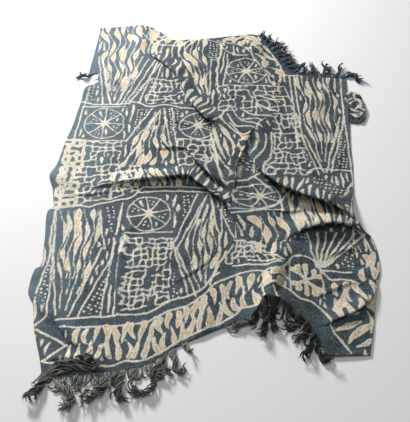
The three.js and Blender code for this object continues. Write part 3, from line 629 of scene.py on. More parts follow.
def tube(line, radius, sides, turn=0.0):
    """Points of rings round a line, the faces between them, and each point's length along the line.

    With a turn, the rings have the shape of two plies that turn about each other.
    """
    step = unit(np.gradient(line, axis=0))
    side = unit(np.cross(step, (0, 0, 1)))
    over = np.cross(side, step)
    angle = np.arange(sides) / sides * 2 * math.pi
    lengths = lengths_along(line)
    lobes = 1 + (CORD_LOBE * np.cos(2 * (angle - turn * lengths[:, None])) if turn else 0)
    reach = np.broadcast_to(radius, len(line))[:, None] * lobes * np.ones(sides)
    rings = line[:, None] + side[:, None] * (reach * np.cos(angle))[..., None]
    rings = rings + over[:, None] * (reach * np.sin(angle))[..., None]
    first = np.arange(len(line) - 1)[:, None] * sides
    a, b = first + np.arange(sides), first + (np.arange(sides) + 1) % sides
    faces = np.stack([a, b, b + sides, a + sides], axis=-1).reshape(-1, 4).tolist()
    faces.append(list(range(sides))[::-1])
    faces.append(list(range(len(line) * sides - sides, len(line) * sides)))
    return rings.reshape(-1, 3), faces, np.repeat(lengths, sides)


def sideways(line):
    """Directions in the floor's plane to the left of a line."""
    ahead = unit(np.gradient(line, axis=0))
    return np.stack([-ahead[:, 1], ahead[:, 0]], axis=1)


def swayed(line, lengths, share, chance, sway, swell):
    """A cord's places with its own small waves, and how far it is lifted by what it lies on."""
    away = sideways(line)
    seed = chance.uniform(0, 90)
    side = np.array([noise.noise((seed, length / 0.022, 0)) for length in lengths])
    rise = np.array([noise.noise((seed, length / 0.030, 5)) for length in lengths])
    loose = smooth(0, 0.25, share)
    return line + away * (side * sway * loose)[:, None], np.clip(rise + 0.35, 0, None) * swell * loose


def evenly(line):
    """The same line with points a step apart, and the length at each."""
    lengths = lengths_along(line)
    spots = np.linspace(0, lengths[-1], max(int(lengths[-1] / CORD_STEP), 8))
    return np.stack([np.interp(spots, lengths, line[:, k]) for k in range(line.shape[1])], axis=1), spots


def ground(line):
    """Height of what is under the places of a line: the cloth, where it goes back over the near hem."""
    hem = np.interp(line[:, 0], near_hem[:, 0], near_hem[:, 1])
    over = smooth(-0.006, 0.004, line[:, 1] - hem) * (line[:, 1] < 0)
    top = cloth_shape(line)[0] + THICKNESS + OVER_CLOTH
    return np.convolve(np.pad(over * top, 3, mode="edge"), np.ones(7) / 7, mode="valid")


def loose_line(start, out, length, chance):
    """Places along a cord that lies by itself: out from its hem, onto the floor and curled at its tip."""
    turn = chance.uniform(-0.5, 0.5)
    curl = chance.choice((-1, 1)) * chance.uniform(0.2, 3.0)
    spots = np.linspace(0, 1, LOOSE_STEPS)
    heading = math.atan2(out[1], out[0]) + turn * smooth(0, 0.5, spots)
    heading = heading + curl * smooth(0.45, 1.3, spots) * 1.6
    steps = np.stack([np.cos(heading), np.sin(heading)], axis=1) * length / LOOSE_STEPS
    line, lengths = evenly(start[:2] + np.cumsum(steps, axis=0) - steps[0])
    share = lengths / lengths[-1]
    line, rise = swayed(line, lengths, share, chance, 0.005, 0.006)
    fallen = (start[2] - CORD_RADIUS) * (1 - smooth(0, FALL_SHARE, share))
    return np.column_stack([line, CORD_RADIUS + fallen + rise])


def tassel_line(start, middle, path, cords, chance):
    """Places along one of the cords that gather into a tassel and turn about each other."""
    line, lengths = evenly(at_share(curve_through([middle[:2], *path[1:]]), np.linspace(0, 1, 60)))
    kept = int(len(line) * chance.uniform(0.8, 1))
    line, lengths = line[:kept], lengths[:kept]
    share = lengths / lengths[-1]
    away = sideways(line)
    gathered = smooth(0, GATHERED, share)
    room = CORD_RADIUS * math.sqrt(cords) * chance.uniform(0.4, 1.55) * (1 + 0.6 * smooth(0.75, 1, share))
    phase = chance.uniform(0, 2 * math.pi) + 2 * math.pi * lengths / ROPE_TURN
    spread = (start - middle)[:2] * (1 - gathered)[:, None]
    line = line + spread + away * (room * np.cos(phase) * gathered)[:, None]
    line, rise = swayed(line, lengths, share, chance, 0.0035, 0.003)
    fallen = (start[2] - CORD_RADIUS) * (1 - smooth(0, FALL_SHARE, share))
    height = CORD_RADIUS + fallen + rise + room * (1 + np.sin(phase)) * 0.8 * gathered
    back_over_cloth = path[0][1] < 0 and path[-1][1] > path[0][1]
    if back_over_cloth:
        height = CORD_RADIUS + ground(line) + (rise + room * (1 + np.sin(phase)) * 0.6) * gathered
    return np.column_stack([line, height])


def curve_frame(edge, normals, turn):
    """Directions in the floor's plane that lead on from the cloth past its edge."""
    along = np.gradient(edge, axis=0)
    return unit(turn * np.cross(along, normals)[:, :2])


def fringe(name, edge, outward):
    """All the cords of one hem's fringe."""
    chance = random.Random(name)
    lengths = lengths_along(edge)
    parts, faces, tones, runs = [], [], [], []
    count = 0

    def root(at):
        start = np.array([np.interp(at, lengths, edge[:, k]) for k in range(3)])
        out = unit(np.array([np.interp(at, lengths, outward[:, k]) for k in range(2)]))
        start[:2] -= out * ROOT_DEPTH
        return start, out

    def add(line, radius, sides, turn, tone):
        nonlocal count
        points, quads, run = tube(line, radius, sides, turn)
        parts.append(points)
        faces.extend([[corner + count for corner in face] for face in quads])
        tones.append(np.full(len(points), tone))
        runs.append(run)
        count += len(points)

    def add_cord(line, tone):
        thick = CORD_RADIUS * chance.uniform(0.75, 1.1)
        shape = np.interp(np.linspace(0, 1, len(line)), (0, 0.04, 0.94, 1), (0.55, 1, 1, 0.85))
        add(line, thick * shape, CORD_SIDES, 2 * math.pi / CORD_TURN, tone)
        end, leaving = line[-1], unit(line[-1] - line[-3])
        for _ in range(HAIRS):
            aim = unit(leaving + np.array([chance.uniform(-0.6, 0.6) for _ in range(3)]) * (1, 1, 0.3))
            bow = np.array([chance.uniform(-0.005, 0.005), chance.uniform(-0.005, 0.005), 0])
            steps = np.linspace(0, 1, 5)[:, None]
            hair = end + aim * steps * chance.uniform(0.003, 0.008) + bow * steps**2
            hair[:, 2] = np.maximum(hair[:, 2], HAIR_HEIGHT)
            add(hair, HAIR_RADIUS, 3, 0, tone)

    for width, cords, path in TASSELS[name]:
        path = metres(path)
        nearest = lengths[np.linalg.norm(edge[:, :2] - path[0], axis=1).argmin()]
        middle = root(nearest)[0]
        common = chance.random()
        for k in range(cords):
            start, _ = root(nearest + ((k + 0.5 + chance.uniform(-0.3, 0.3)) / cords - 0.5) * metres(width))
            tone = 0.6 * common + 0.4 * chance.random()
            add_cord(tassel_line(start, middle, path, cords, chance), tone)
    amount, first, last, shortest, longest = LOOSE[name]
    for k in range(amount):
        start, out = root((first + (k + chance.random()) / amount * (last - first)) * lengths[-1])
        add_cord(loose_line(start, out, chance.uniform(shortest, longest), chance), chance.random())
    mesh = bpy.data.meshes.new(f"{name}_cords")
    points = np.vstack(parts)
    points[:, 2] = np.maximum(points[:, 2], 0)
    points[:, :2] += LAID_AT
    mesh.from_pydata(points.tolist(), [], faces)
    mesh.shade_smooth()
    mesh.attributes.new("tone", "FLOAT", "POINT").data.foreach_set("value", np.concatenate(tones))
    mesh.attributes.new("run", "FLOAT", "POINT").data.foreach_set("value", np.concatenate(runs))
    mesh.materials.append(cord_material)
    cords = bpy.data.objects.new(f"{name}_cords", mesh)
    scene.collection.objects.link(cords)
    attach(cords, "root")
    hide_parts(name)
    return cords


# The drawing. Without a seed of its own, Blender's vector noise would differ from run to run
DRAWING_SEED = 11
chance = random.Random(DRAWING_SEED)
noise.seed_set(DRAWING_SEED)
strokes = []
dotted = []


def draw(points, half=LINE, steps=5):
    """A cream line whose half widths are given along it."""
    points = np.array(points, float)
    if steps > 1 and len(points) > 2:
        points = curve_through(points, steps)[0]
    half = np.atleast_1d(half)
    halves = np.interp(np.linspace(0, 1, len(points)), np.linspace(0, 1, len(half)), half)
    strokes.append((points, halves))


def within(patch, p, q):
    """A place in a patch, whose corners go up its right side and back down its left one."""
    corners = np.array(patch, float)
    half = len(corners) // 2
    right, left = corners[1:half + 1], np.vstack([corners[:1], corners[:half:-1]])
    middle = (left + right) / 2
    lengths = lengths_along(middle)
    p, q = np.broadcast_arrays(p, q)
    on_left, on_right = (at_share((side, lengths / lengths[-1]), q) for side in (left, right))
    return on_left * (1 - p[..., None]) + on_right * p[..., None]


def flames(quad, rays, cycles, fat=0.5, phase=0.0):
    """Rays of cream spindles, each about half a beat after its neighbour. Where they crowd, fewer go on."""
    q = np.linspace(0, 1, 36)
    gap = np.linalg.norm(within(quad, 1.0, q) - within(quad, 0.0, q), axis=1) / rays
    common = 0.45 * np.sin(2 * math.pi * (cycles * 0.7 * q + chance.random()))
    for k in range(rays):
        pace = cycles * chance.uniform(0.94, 1.06)
        beat = 2 * math.pi * (pace * q + phase) + k * math.pi + chance.uniform(-0.8, 0.8)
        beat = beat + 0.6 * np.sin(beat * 0.43 + chance.uniform(0, 6))
        shape = np.clip(np.sin(beat), 0, 1) ** chance.uniform(0.75, 1.35)
        half = TIP + np.maximum(fat * gap * chance.uniform(0.7, 1.1) - TIP, 0) * shape
        sway = common + 0.16 * np.sin(beat * 0.5 + chance.uniform(0, 6)) + chance.uniform(-0.08, 0.08)
        kept = gap > RAY_GAPS[k % len(RAY_GAPS)]
        if kept.sum() > 2:
            draw(within(quad, (k + 0.5 + sway) / rays, q)[kept], half[kept], steps=1)


def stripes(quad, count, half=LINE):
    """Evenly spaced lines that run along a quad, its sides among them."""
    for k in range(count):
        p = k / (count - 1)
        sway = [chance.uniform(-0.07, 0.07) / count for _ in range(5)]
        draw([within(quad, p + s, q) for s, q in zip(sway, np.linspace(0, 1, 5))], half)


def maze(quad, across, along, half=FINE, share=MAZE_SHARE):
    """Lines that meander on a net of knots and keep this share of its meshes' sides."""
    net = {}
    for i in range(across + 1):
        for j in range(along + 1):
            p = (i + chance.uniform(-0.26, 0.26)) / across
            q = (j + chance.uniform(-0.26, 0.26)) / along
            net[i, j] = within(quad, min(max(p, 0), 1), min(max(q, 0), 1))
    for (i, j), place in net.items():
        for further in ((i + 1, j), (i, j + 1)):
            if further in net and chance.random() < share:
                step = net[further] - place
                bow = np.array([-step[1], step[0]]) * chance.uniform(-0.24, 0.24)
                bend = place + step * chance.uniform(0.35, 0.65) + bow
                draw([place, bend, net[further]], half, steps=4)


def dots(quad):
    """A band of dots, which the cloth's material makes."""
    dotted.append(np.array(quad, float))


def wheel(middle, across, along, turn=0.0):
    """A ring with eight spokes, every other space between them dotted."""
    middle = np.array(middle)

    def rim(angle, share=1.0):
        return middle + share * np.array([across * math.cos(angle), along * math.sin(angle)])

    corners = [rim(turn + math.pi * (k + 0.5) / 4, chance.uniform(0.97, 1.06)) for k in range(8)]
    draw([*corners, corners[0]], FINE, steps=4)
    for k in range(8):
        angle = turn + math.pi * k / 4 + chance.uniform(-0.08, 0.08)
        draw([middle, rim(angle, 0.5), rim(angle)], [0.0056, FINE, TIP], steps=3)
        if k % 2:
            side, other = angle + 0.14, angle + 0.64
            dots([rim(side, 0.36), rim(side, 0.9), rim(other, 0.9), rim(other, 0.36)])


def block(quad, share, turn=0.0):
    """A framed wheel on the far part of a block."""
    corners = [within(quad, p, q) for p, q in ((0, share), (1, share), (1, 1), (0, 1))]
    draw(corners[:2], FINE)
    middle = within(corners, 0.5, 0.5)
    across = np.linalg.norm(corners[1] - corners[0]) * 0.44
    along = np.linalg.norm(corners[2] - corners[1]) * 0.44
    wheel(middle, across, along, turn)


def border(quad, teeth):
    """Two rows of fat cream flames, each widest at its own side of the band and reaching past the other."""
    q = np.linspace(0, 1, 12)
    quad = np.array(quad)
    width = np.linalg.norm(quad[1] - quad[0]) / teeth
    depth = np.linalg.norm(quad[3] - quad[0])
    for k in range(teeth):
        for row in (0, 1):
            belly = chance.uniform(0.25, 0.35) * width
            inset = 0.7 * belly / depth
            if row == 0:
                first, last, rise = inset, chance.uniform(0.46, 0.62), 1 - q
            else:
                first, last, rise = chance.uniform(0.40, 0.56), 1 - inset, q
            shape = np.clip(rise * 1.25, 0, 1) ** chance.uniform(0.6, 1.1)
            if chance.random() < 0.45:
                shape = np.sin(math.pi * np.clip(rise * 0.8 + 0.02, 0, 1))
            slant = chance.uniform(-0.6, 0.6) / teeth
            bow = chance.uniform(-0.35, 0.35) / teeth * np.sin(math.pi * q)
            middle = (k + 0.27 + 0.5 * row + chance.uniform(-0.08, 0.08)) / teeth
            place = within(quad, middle + slant * (q - 0.5) + bow, first + (last - first) * q)
            draw(place, TIP + np.maximum(belly - TIP, 0) * shape, steps=1)


def cross(quad):
    """Four cream blades that widen from the middle of a framed square to its corners, on a narrow bar."""
    quad = np.array(quad)
    draw([quad[3], quad[0]], FINE)
    draw([quad[1], quad[2]], FINE)
    bar = [within(quad, 0.5, 0.0), within(quad, 0.48, 0.5), within(quad, 0.5, 1.0)]
    draw(bar, [0.010, 0.0042, 0.009], steps=6)
    for side in (-0.5, 0.5):
        for rise in (-0.5, 0.5):
            for turn, fat in ((0.62, 0.012), (0.98, 0.010)):
                tip = within(quad, 0.5 + side * 0.82 * turn, 0.5 + rise * 0.8 * (1.6 - turn))
                bend = within(quad, 0.5 + side * 0.42, 0.5 + rise * 0.34)
                draw([within(quad, 0.49, 0.5), bend, tip], [0.003, 0.006, fat], steps=6)


def inside_of(places, quad):
    """How far inside a quad each place is."""
    quad = np.array(quad, float)
    middle = quad.mean(0)
    inside = np.full(len(places), 1.0)
    for a, b in zip(quad, np.roll(quad, -1, axis=0)):
        normal = np.array([a[1] - b[1], b[0] - a[0]])
        normal /= max(np.linalg.norm(normal), 1e-9)
        normal *= np.sign((middle - a) @ normal)
        inside = np.minimum(inside, (places - a) @ normal)
    return inside


def fill_gaps(outline):
    """Short flames wherever more than a finger's width is still plain, along the strips."""
    x, y = np.arange(*FILL_ACROSS, FILL_STEP), np.arange(*FILL_ALONG, FILL_STEP)
    net = np.stack(np.meshgrid(x, y, indexing="ij"), axis=-1)
    places = net.reshape(-1, 2)
    room = paint(places, FILL_SIGHT, FILL_SIGHT)
    for quad in [*dotted, *PLAIN]:
        room = np.where(inside_of(places, quad) > -FILL_MARGIN, 0, room)
    room[~outline(places)] = 0
    room = room.reshape(net.shape[:2])
    lines = np.arange(len(y))
    for i, j in sorted(np.ndindex(room.shape), key=lambda cell: chance.random()):
        if room[i, j] < FILL_ROOM:
            continue
        slant = chance.uniform(-0.2, 0.2)
        column = np.clip(np.round(i + slant * (lines - j)).astype(int), 0, len(x) - 1)
        free = room[column, lines] > FILL_END_ROOM
        low = high = j
        while low > 0 and free[low - 1] and (j - low) * FILL_STEP < FILL_LONGEST:
            low -= 1
        while high < len(y) - 1 and free[high + 1] and (high - j) * FILL_STEP < FILL_LONGEST:
            high += 1
        if high - low < FILL_FEWEST_ROWS:
            continue
        spots = [np.array([x[column[k]] + chance.uniform(-0.003, 0.003), y[k]]) for k in (low, j, high)]
        fat = min(room[i, j] * 0.45, 0.009) * chance.uniform(0.5, 1)
        draw(spots, [TIP, max(fat, TIP), TIP])
        touched = slice(max(low - 5, 0), high + 6)
        cut = paint(net[:, touched].reshape(-1, 2), FILL_SIGHT, FILL_SIGHT, len(strokes) - 1)
        room[:, touched] = np.minimum(room[:, touched], cut.reshape(len(x), -1))


def paint(places, room=0.012, bare=BARE, since=0):
    """Distance from each place to the nearest edge of cream, below zero inside it.

    Strokes that are near each other run together. Only those from number since on are taken.
    """
    field = np.full(len(places), bare)
    key = np.floor(places / CELL).astype(int) @ (SQUARES_IN_ROW, 1)
    order = np.argsort(key, kind="stable")
    sorted_key = key[order]
    for points, halves in strokes[since:]:
        mine = np.full(len(places), np.inf)
        for a, b, half_a, half_b in zip(points, points[1:], halves, halves[1:]):
            reach = max(half_a, half_b) + room
            low = np.floor((np.minimum(a, b) - reach) / CELL).astype(int)
            high = np.floor((np.maximum(a, b) + reach) / CELL).astype(int)
            found = []
            for i in range(low[0], high[0] + 1):
                ends = (i * SQUARES_IN_ROW + low[1], i * SQUARES_IN_ROW + high[1] + 1)
                found.append(order[slice(*np.searchsorted(sorted_key, ends))])
            near = np.concatenate(found)
            if not len(near):
                continue
            step = b - a
            offset = places[near] - a
            share = np.clip(offset @ step / max(step @ step, 1e-12), 0, 1)
            distance = np.linalg.norm(offset - share[:, None] * step, axis=1)
            distance -= half_a + share * (half_b - half_a)
            mine[near] = np.minimum(mine[near], distance)
        met = np.isfinite(mine)
        close = np.maximum(MELT - np.abs(field[met] - mine[met]), 0) / MELT
        field[met] = np.minimum(field[met], mine[met]) - close**2 * MELT / 4
    return field


def paint_dots(places):
    """For each place its spot in a band's rows of dots, and how far inside the band it is."""
    spots = np.zeros((len(places), 3))
    spots[:, 2] = -BARE
    for quad in dotted:
        along = quad[3] - quad[0]
        along /= np.linalg.norm(along)
        inside = inside_of(places, quad)
        mine = inside > spots[:, 2]
        offset = places[mine] - quad[0]
        side = np.array([-along[1], along[0]])
        spots[mine] = np.column_stack([offset @ along / PITCH, offset @ side / PITCH, inside[mine]])
    return spots


def draw_all():
    """Every design of the cloth, in the order in which the random draws go."""
    for quad, teeth in BORDER:
        border(metres(quad), teeth)
    for quad, rays, cycles, phase in FLAMES:
        flames(metres(quad), rays, cycles, phase=phase)
    for quad, across, along in MAZES:
        maze(metres(quad), across, along)
    for quad, across, along, half in PATCHES:
        maze(metres(quad), across, along, metres(half), PATCH_SHARE)
    for quad, share, turn in BLOCKS:
        block(metres(quad), share, turn)
    for quad in DOTS:
        dots(quad)
    for quad, count in STRIPES:
        stripes(metres(quad), count)
    for points in LINES:
        draw(points)
    for halves, points in SINGLES:
        draw(metres(points), metres(halves))
    cross(CROSS)


# Camera and light. The photograph was taken from this place, with this focal length in its pixels
EYE = (-0.04406, -1.84802, 1.95)
TILT_FROM_DOWN = 40
SENSOR = 36
FOCAL_PIXELS = 650
PHOTO_HEIGHT = 422
scene = bpy.context.scene
camera = bpy.data.objects.new("camera", bpy.data.cameras.new("camera"))
scene.collection.objects.link(camera)
camera.location = EYE
camera.rotation_euler = (math.radians(TILT_FROM_DOWN), 0, 0)
camera.data.sensor_width = SENSOR
camera.data.lens = SENSOR * FOCAL_PIXELS / PHOTO_HEIGHT
scene.camera = camera


def area_light(name, place, size, power):
    """A square lamp that shines at the middle of the cloth."""
    light = bpy.data.objects.new(name, bpy.data.lights.new(name, "AREA"))
    scene.collection.objects.link(light)
    light.location = place
    light.rotation_euler = (-Vector(place)).to_track_quat("-Z", "Y").to_euler()
    light.data.size = size
    light.data.energy = power


area_light("key", place=(-2.6, 3.7, 2.35), size=1.0, power=396)
area_light("top", place=(-0.4, -0.4, 3.2), size=2.0, power=26)
world = bpy.data.worlds.new("studio")
world.use_nodes = True
background = world.node_tree.nodes["Background"]
background.inputs["Color"].default_value = (0.93, 0.93, 0.94, 1)
background.inputs["Strength"].default_value = 0.19
scene.world = world
scene.view_settings.view_transform = "Standard"

FLOOR_REACH = 6
FLOOR_DROP = 0.0004
floor_corners = [(FLOOR_REACH * x, FLOOR_REACH * y, 0) for x, y in ((-1, -1), (1, -1), (1, 1), (-1, 1))]
floor_mesh = bpy.data.meshes.new("floor")
floor_mesh.from_pydata(floor_corners, [], [(0, 1, 2, 3)])
floor = bpy.data.objects.new("floor", floor_mesh)
scene.collection.objects.link(floor)
floor.location.z = -FLOOR_DROP
floor_material = bpy.data.materials.new("pale floor")
floor_material.use_nodes = True
floor_shader = floor_material.node_tree.nodes["Principled BSDF"]
floor_shader.inputs["Base Color"].default_value = (0.8, 0.795, 0.79, 1)
floor_shader.inputs["Roughness"].default_value = 0.8
floor_mesh.materials.append(floor_material)


# Materials. Colours as they look on a screen, of 0 to 255
COLOURS = {
    "deep indigo": (32, 41, 49),
    "light indigo": (64, 79, 89),
    "rubbed indigo": (86, 95, 98),
    "pale warp": (104, 114, 116),
    "pale fleck": (136, 143, 139),
    "beside the resist": (138, 139, 132),
    # Painted light on the indigo: a painted sheen and a lighter side towards the far left
    "painted_sheen": (136, 152, 162),
    "indigo in painted light": (110, 128, 142),
    "cool cream": (230, 228, 215),
    "warm cream": (238, 230, 208),
    "cotton": (238, 220, 190),
    "brown cotton": (224, 198, 164),
    "stitch hole": (104, 94, 78),
    "stain": (176, 148, 84),
    "dark cord": (72, 76, 71),
    "grey cord": (112, 116, 109),
    "worn cord": (164, 163, 152),
    # Painted shade on the cords at the right
    "cord in painted shade at the right": (36, 42, 46),
    "cord at the far end": (76, 94, 110),
    "cord past its root": (44, 48, 48),
}


def colour(name):
    """One of the colours as linear light."""
    return (*((c / 255) ** 2.2 for c in COLOURS[name]), 1)


def feed(tree, socket, value):
    """Puts a value into a socket, or links another node's socket to it."""
    if isinstance(value, bpy.types.NodeSocket):
        tree.links.new(value, socket)
    else:
        socket.default_value = value


def add_node(tree, kind, inputs=(), **options):
    """A new node with these options, and with values or links in its inputs."""
    made = tree.nodes.new(kind)
    for name, value in options.items():
        setattr(made, name, value)
    for socket, value in dict(inputs).items():
        feed(tree, made.inputs[socket], value)
    return made


def maths(tree, operation, a, b=0.0, c=0.0):
    return add_node(tree, "ShaderNodeMath", {0: a, 1: b, 2: c}, operation=operation).outputs[0]


def times(tree, value, amount):
    return maths(tree, "MULTIPLY", value, amount)


def total(tree, first, *others):
    """The sum of the values, in their order."""
    for other in others:
        first = maths(tree, "ADD", first, other)
    return first


def vector_maths(tree, operation, a, b=(0, 0, 0), output=0):
    return add_node(tree, "ShaderNodeVectorMath", {0: a, 1: b}, operation=operation).outputs[output]


def shaded(tree, tint, amount):
    """A colour that is made lighter or darker by a value."""
    return add_node(tree, "ShaderNodeVectorMath", {0: tint, "Scale": amount}, operation="SCALE").outputs[0]


def blend(tree, share, a, b):
    """The first colour where the share is 0, and the second where it is 1."""
    made = add_node(tree, "ShaderNodeMix", {"Factor": share}, data_type="RGBA")
    feed(tree, made.inputs[6], a)
    feed(tree, made.inputs[7], b)
    return made.outputs[2]


def attribute(tree, name, output="Fac"):
    """A value or vector that the mesh keeps at its points."""
    return add_node(tree, "ShaderNodeAttribute", attribute_name=name).outputs[output]


def parts_of(tree, vector):
    return add_node(tree, "ShaderNodeSeparateXYZ", {0: vector}).outputs


def between(tree, value, low, high, soft=True):
    """0 where the value is at low, and 1 where it is at high."""
    inputs = {"Value": value, "From Min": low, "From Max": high}
    kind = "SMOOTHSTEP" if soft else "LINEAR"
    return add_node(tree, "ShaderNodeMapRange", inputs, interpolation_type=kind).outputs[0]


def noise_of(tree, place, size, detail=2.0, stretch=(1, 1, 1)):
    """Noise of 0 to 1 whose blots are about this many metres."""
    inputs = {"Vector": vector_maths(tree, "MULTIPLY", place, stretch), "Scale": 1 / size, "Detail": detail}
    return add_node(tree, "ShaderNodeTexNoise", inputs).outputs[0]


def indigo_group():
    """Mottled indigo, with streaks along the warp."""
    tree = bpy.data.node_groups.new("indigo", "ShaderNodeTree")
    tree.interface.new_socket("Place", in_out="INPUT", socket_type="NodeSocketVector")
    tree.interface.new_socket("Color", in_out="OUTPUT", socket_type="NodeSocketColor")
    place = tree.nodes.new("NodeGroupInput").outputs["Place"]
    output = tree.nodes.new("NodeGroupOutput")
    cloudy = between(tree, noise_of(tree, place, 0.09, 4), 0.32, 0.68)
    spots = between(tree, noise_of(tree, place, 0.014, 3), 0.3, 0.75)
    streak = between(tree, noise_of(tree, place, 0.0022, 2, (1, 0.05, 1)), 0.35, 0.8)
    base = blend(tree, cloudy, colour("deep indigo"), colour("light indigo"))
    base = blend(tree, times(tree, spots, 0.4), base, colour("rubbed indigo"))
    base = blend(tree, times(tree, streak, 0.35), base, colour("pale warp"))
    tree.links.new(base, output.inputs["Color"])
    return tree


def stains(tree, place, coarse):
    """Where the cloth has a yellowed ring and two yellowed streaks."""
    found = 0.0
    for middle, stretch, radius in STAINS:
        offset = vector_maths(tree, "SUBTRACT", place, (*middle, 0))
        offset = vector_maths(tree, "MULTIPLY", offset, (*stretch, 0))
        away = vector_maths(tree, "LENGTH", offset, output="Value")
        away = total(tree, away, times(tree, coarse, 0.016))
        away = maths(tree, "ABSOLUTE", maths(tree, "SUBTRACT", away, radius))
        found = maths(tree, "MAXIMUM", found, between(tree, away, 0.008, 0.002))
    return found


def shader_of(material):
    """A new material's tree, its shader and the place in it."""
    material.use_nodes = True
    tree = material.node_tree
    shader = tree.nodes["Principled BSDF"]
    shader.inputs["Specular IOR Level"].default_value = 0.2
    return tree, shader, add_node(tree, "ShaderNodeTexCoord").outputs["Object"]


def bumpy(tree, shader, height):
    """Gives a shader its relief, from a height in metres."""
    bump = add_node(tree, "ShaderNodeBump", {"Height": height, "Strength": 0.7, "Distance": 1.0})
    tree.links.new(bump.outputs[0], shader.inputs["Normal"])


def resist_edge(tree, fine, coarse):
    """Distance to the edge of the cream, with the frayed line that stitches leave."""
    edge = maths(tree, "MULTIPLY_ADD", fine, 0.0056, attribute(tree, "resist"))
    return total(tree, edge, times(tree, coarse, 0.0042))


def dots_of_bands(tree, fine):
    """Where the bands of dots have cream."""
    spots = attribute(tree, "dots", "Vector")
    inputs = {"Vector": spots, "Scale": 1.0, "Randomness": 0.35}
    away = add_node(tree, "ShaderNodeTexVoronoi", inputs, voronoi_dimensions="2D").outputs["Distance"]
    dot = between(tree, total(tree, away, times(tree, fine, 0.14)), 0.30, 0.20)
    return maths(tree, "MULTIPLY", dot, between(tree, parts_of(tree, spots)[2], 0.003, 0.005))


def blue_parts(tree, place, lay, edge, wear_and_painted_light):
    """Indigo with pale flecks, lighter beside the resist, and with painted light that makes it lighter
    towards the far left: a painted sheen and a painted lighter side.
    """
    indigo = add_node(tree, "ShaderNodeGroup", {"Place": lay}, node_tree=bpy.data.node_groups["indigo"])
    flecks = between(tree, noise_of(tree, lay, 0.0040, 2, (1, 0.4, 1)), 0.55, 0.68)
    blue = blend(tree, times(tree, flecks, 0.55), indigo.outputs["Color"], colour("pale fleck"))
    beside = between(tree, edge, 0.0034, 0.0008)
    blue = blend(tree, times(tree, beside, 0.16), blue, colour("beside the resist"))
    x, y, _ = parts_of(tree, place)
    # Painted sheen: the blue is lighter towards the far left, where the key lamp shines along the cloth
    painted_sheen = between(tree, maths(tree, "SUBTRACT", times(tree, y, 0.25), x), 0.3, 0.62)
    blue = blend(tree, times(tree, painted_sheen, 0.42), blue, colour("painted_sheen"))
    # Painted light: a lighter blue at the left and the far end
    return blend(tree, times(tree, wear_and_painted_light, 0.16), blue, colour("indigo in painted light"))


def cream_parts(tree, place, edge, coarse, wear_and_painted_light):
    """Undyed cotton, browner inside its edge, with stitch holes and stains, and with painted shade that
    darkens it towards the right and the near end.
    """
    deep = between(tree, edge, -0.0022, -0.0065)
    warm = between(tree, noise_of(tree, place, 0.05, 3), 0.3, 0.66)
    pale = blend(tree, warm, colour("cool cream"), colour("warm cream"))
    full = blend(tree, warm, colour("cotton"), colour("brown cotton"))
    cream = blend(tree, deep, pale, full)
    holes = between(tree, noise_of(tree, place, 0.0042, 2), 0.54, 0.66)
    cream = blend(tree, times(tree, holes, 0.66), cream, colour("stitch hole"))
    cream = blend(tree, times(tree, stains(tree, place, coarse), 0.55), cream, colour("stain"))
    # Painted shade: the cream is darker to the right and towards the near end
    return shaded(tree, cream, maths(tree, "MULTIPLY_ADD", wear_and_painted_light, 0.2, 0.78))


def cloth_look():
    """Dyed cotton: cream where the resist was, indigo elsewhere, on narrow woven strips."""
    material = bpy.data.materials.new("dyed cotton")
    tree, shader, place = shader_of(material)
    lay = attribute(tree, "lay", "Vector")
    across, along, _ = parts_of(tree, lay)
    fine = maths(tree, "SUBTRACT", noise_of(tree, place, 0.004, 2), 0.5)
    coarse = maths(tree, "SUBTRACT", noise_of(tree, place, 0.012, 2), 0.5)
    x, y, _ = parts_of(tree, place)
    # Painted light and shade: lighter at the left and the far end, darker to the right and the near end, as
    # the key lamp's fall-off would make it
    wear_and_painted_light = between(tree, maths(tree, "SUBTRACT", times(tree, y, 0.1), x), -0.05, 0.5)
    edge = resist_edge(tree, fine, coarse)
    dots_here = times(tree, dots_of_bands(tree, fine), 0.85)
    cream = maths(tree, "MAXIMUM", between(tree, edge, 0.0017, -0.0013), dots_here)
    blue = blue_parts(tree, place, lay, edge, wear_and_painted_light)
    natural = cream_parts(tree, place, edge, coarse, wear_and_painted_light)
    dyed = blend(tree, cream, blue, natural)

    strip = maths(tree, "DIVIDE", across, STRIP_WIDTH)
    number = {"W": maths(tree, "FLOOR", strip)}
    by_strip = add_node(tree, "ShaderNodeTexWhiteNoise", number, noise_dimensions="1D").outputs["Value"]
    seam = between(tree, maths(tree, "PINGPONG", strip, 0.5), 0.022, 0.006)
    of_strip = maths(tree, "MULTIPLY_ADD", by_strip, 0.1, 0.95)
    blotches = times(tree, coarse, 0.6), times(tree, fine, 0.55)
    shade = total(tree, of_strip, times(tree, seam, -0.2), *blotches)
    tree.links.new(shaded(tree, dyed, shade), shader.inputs["Base Color"])
    shader.inputs["Roughness"].default_value = 0.92

    warp = maths(tree, "SINE", times(tree, across, 2 * math.pi / YARN))
    weft = maths(tree, "SINE", times(tree, along, 2 * math.pi / YARN))
    weave = times(tree, maths(tree, "MAXIMUM", warp, times(tree, weft, 0.7)), 0.00012)
    puckers = times(tree, fine, 0.0022)
    raised = times(tree, between(tree, edge, 0.004, -0.004), 0.0007)
    swells = times(tree, coarse, 0.0030)
    bumpy(tree, shader, total(tree, weave, puckers, raised, swells, times(tree, seam, -0.0006)))
    return material


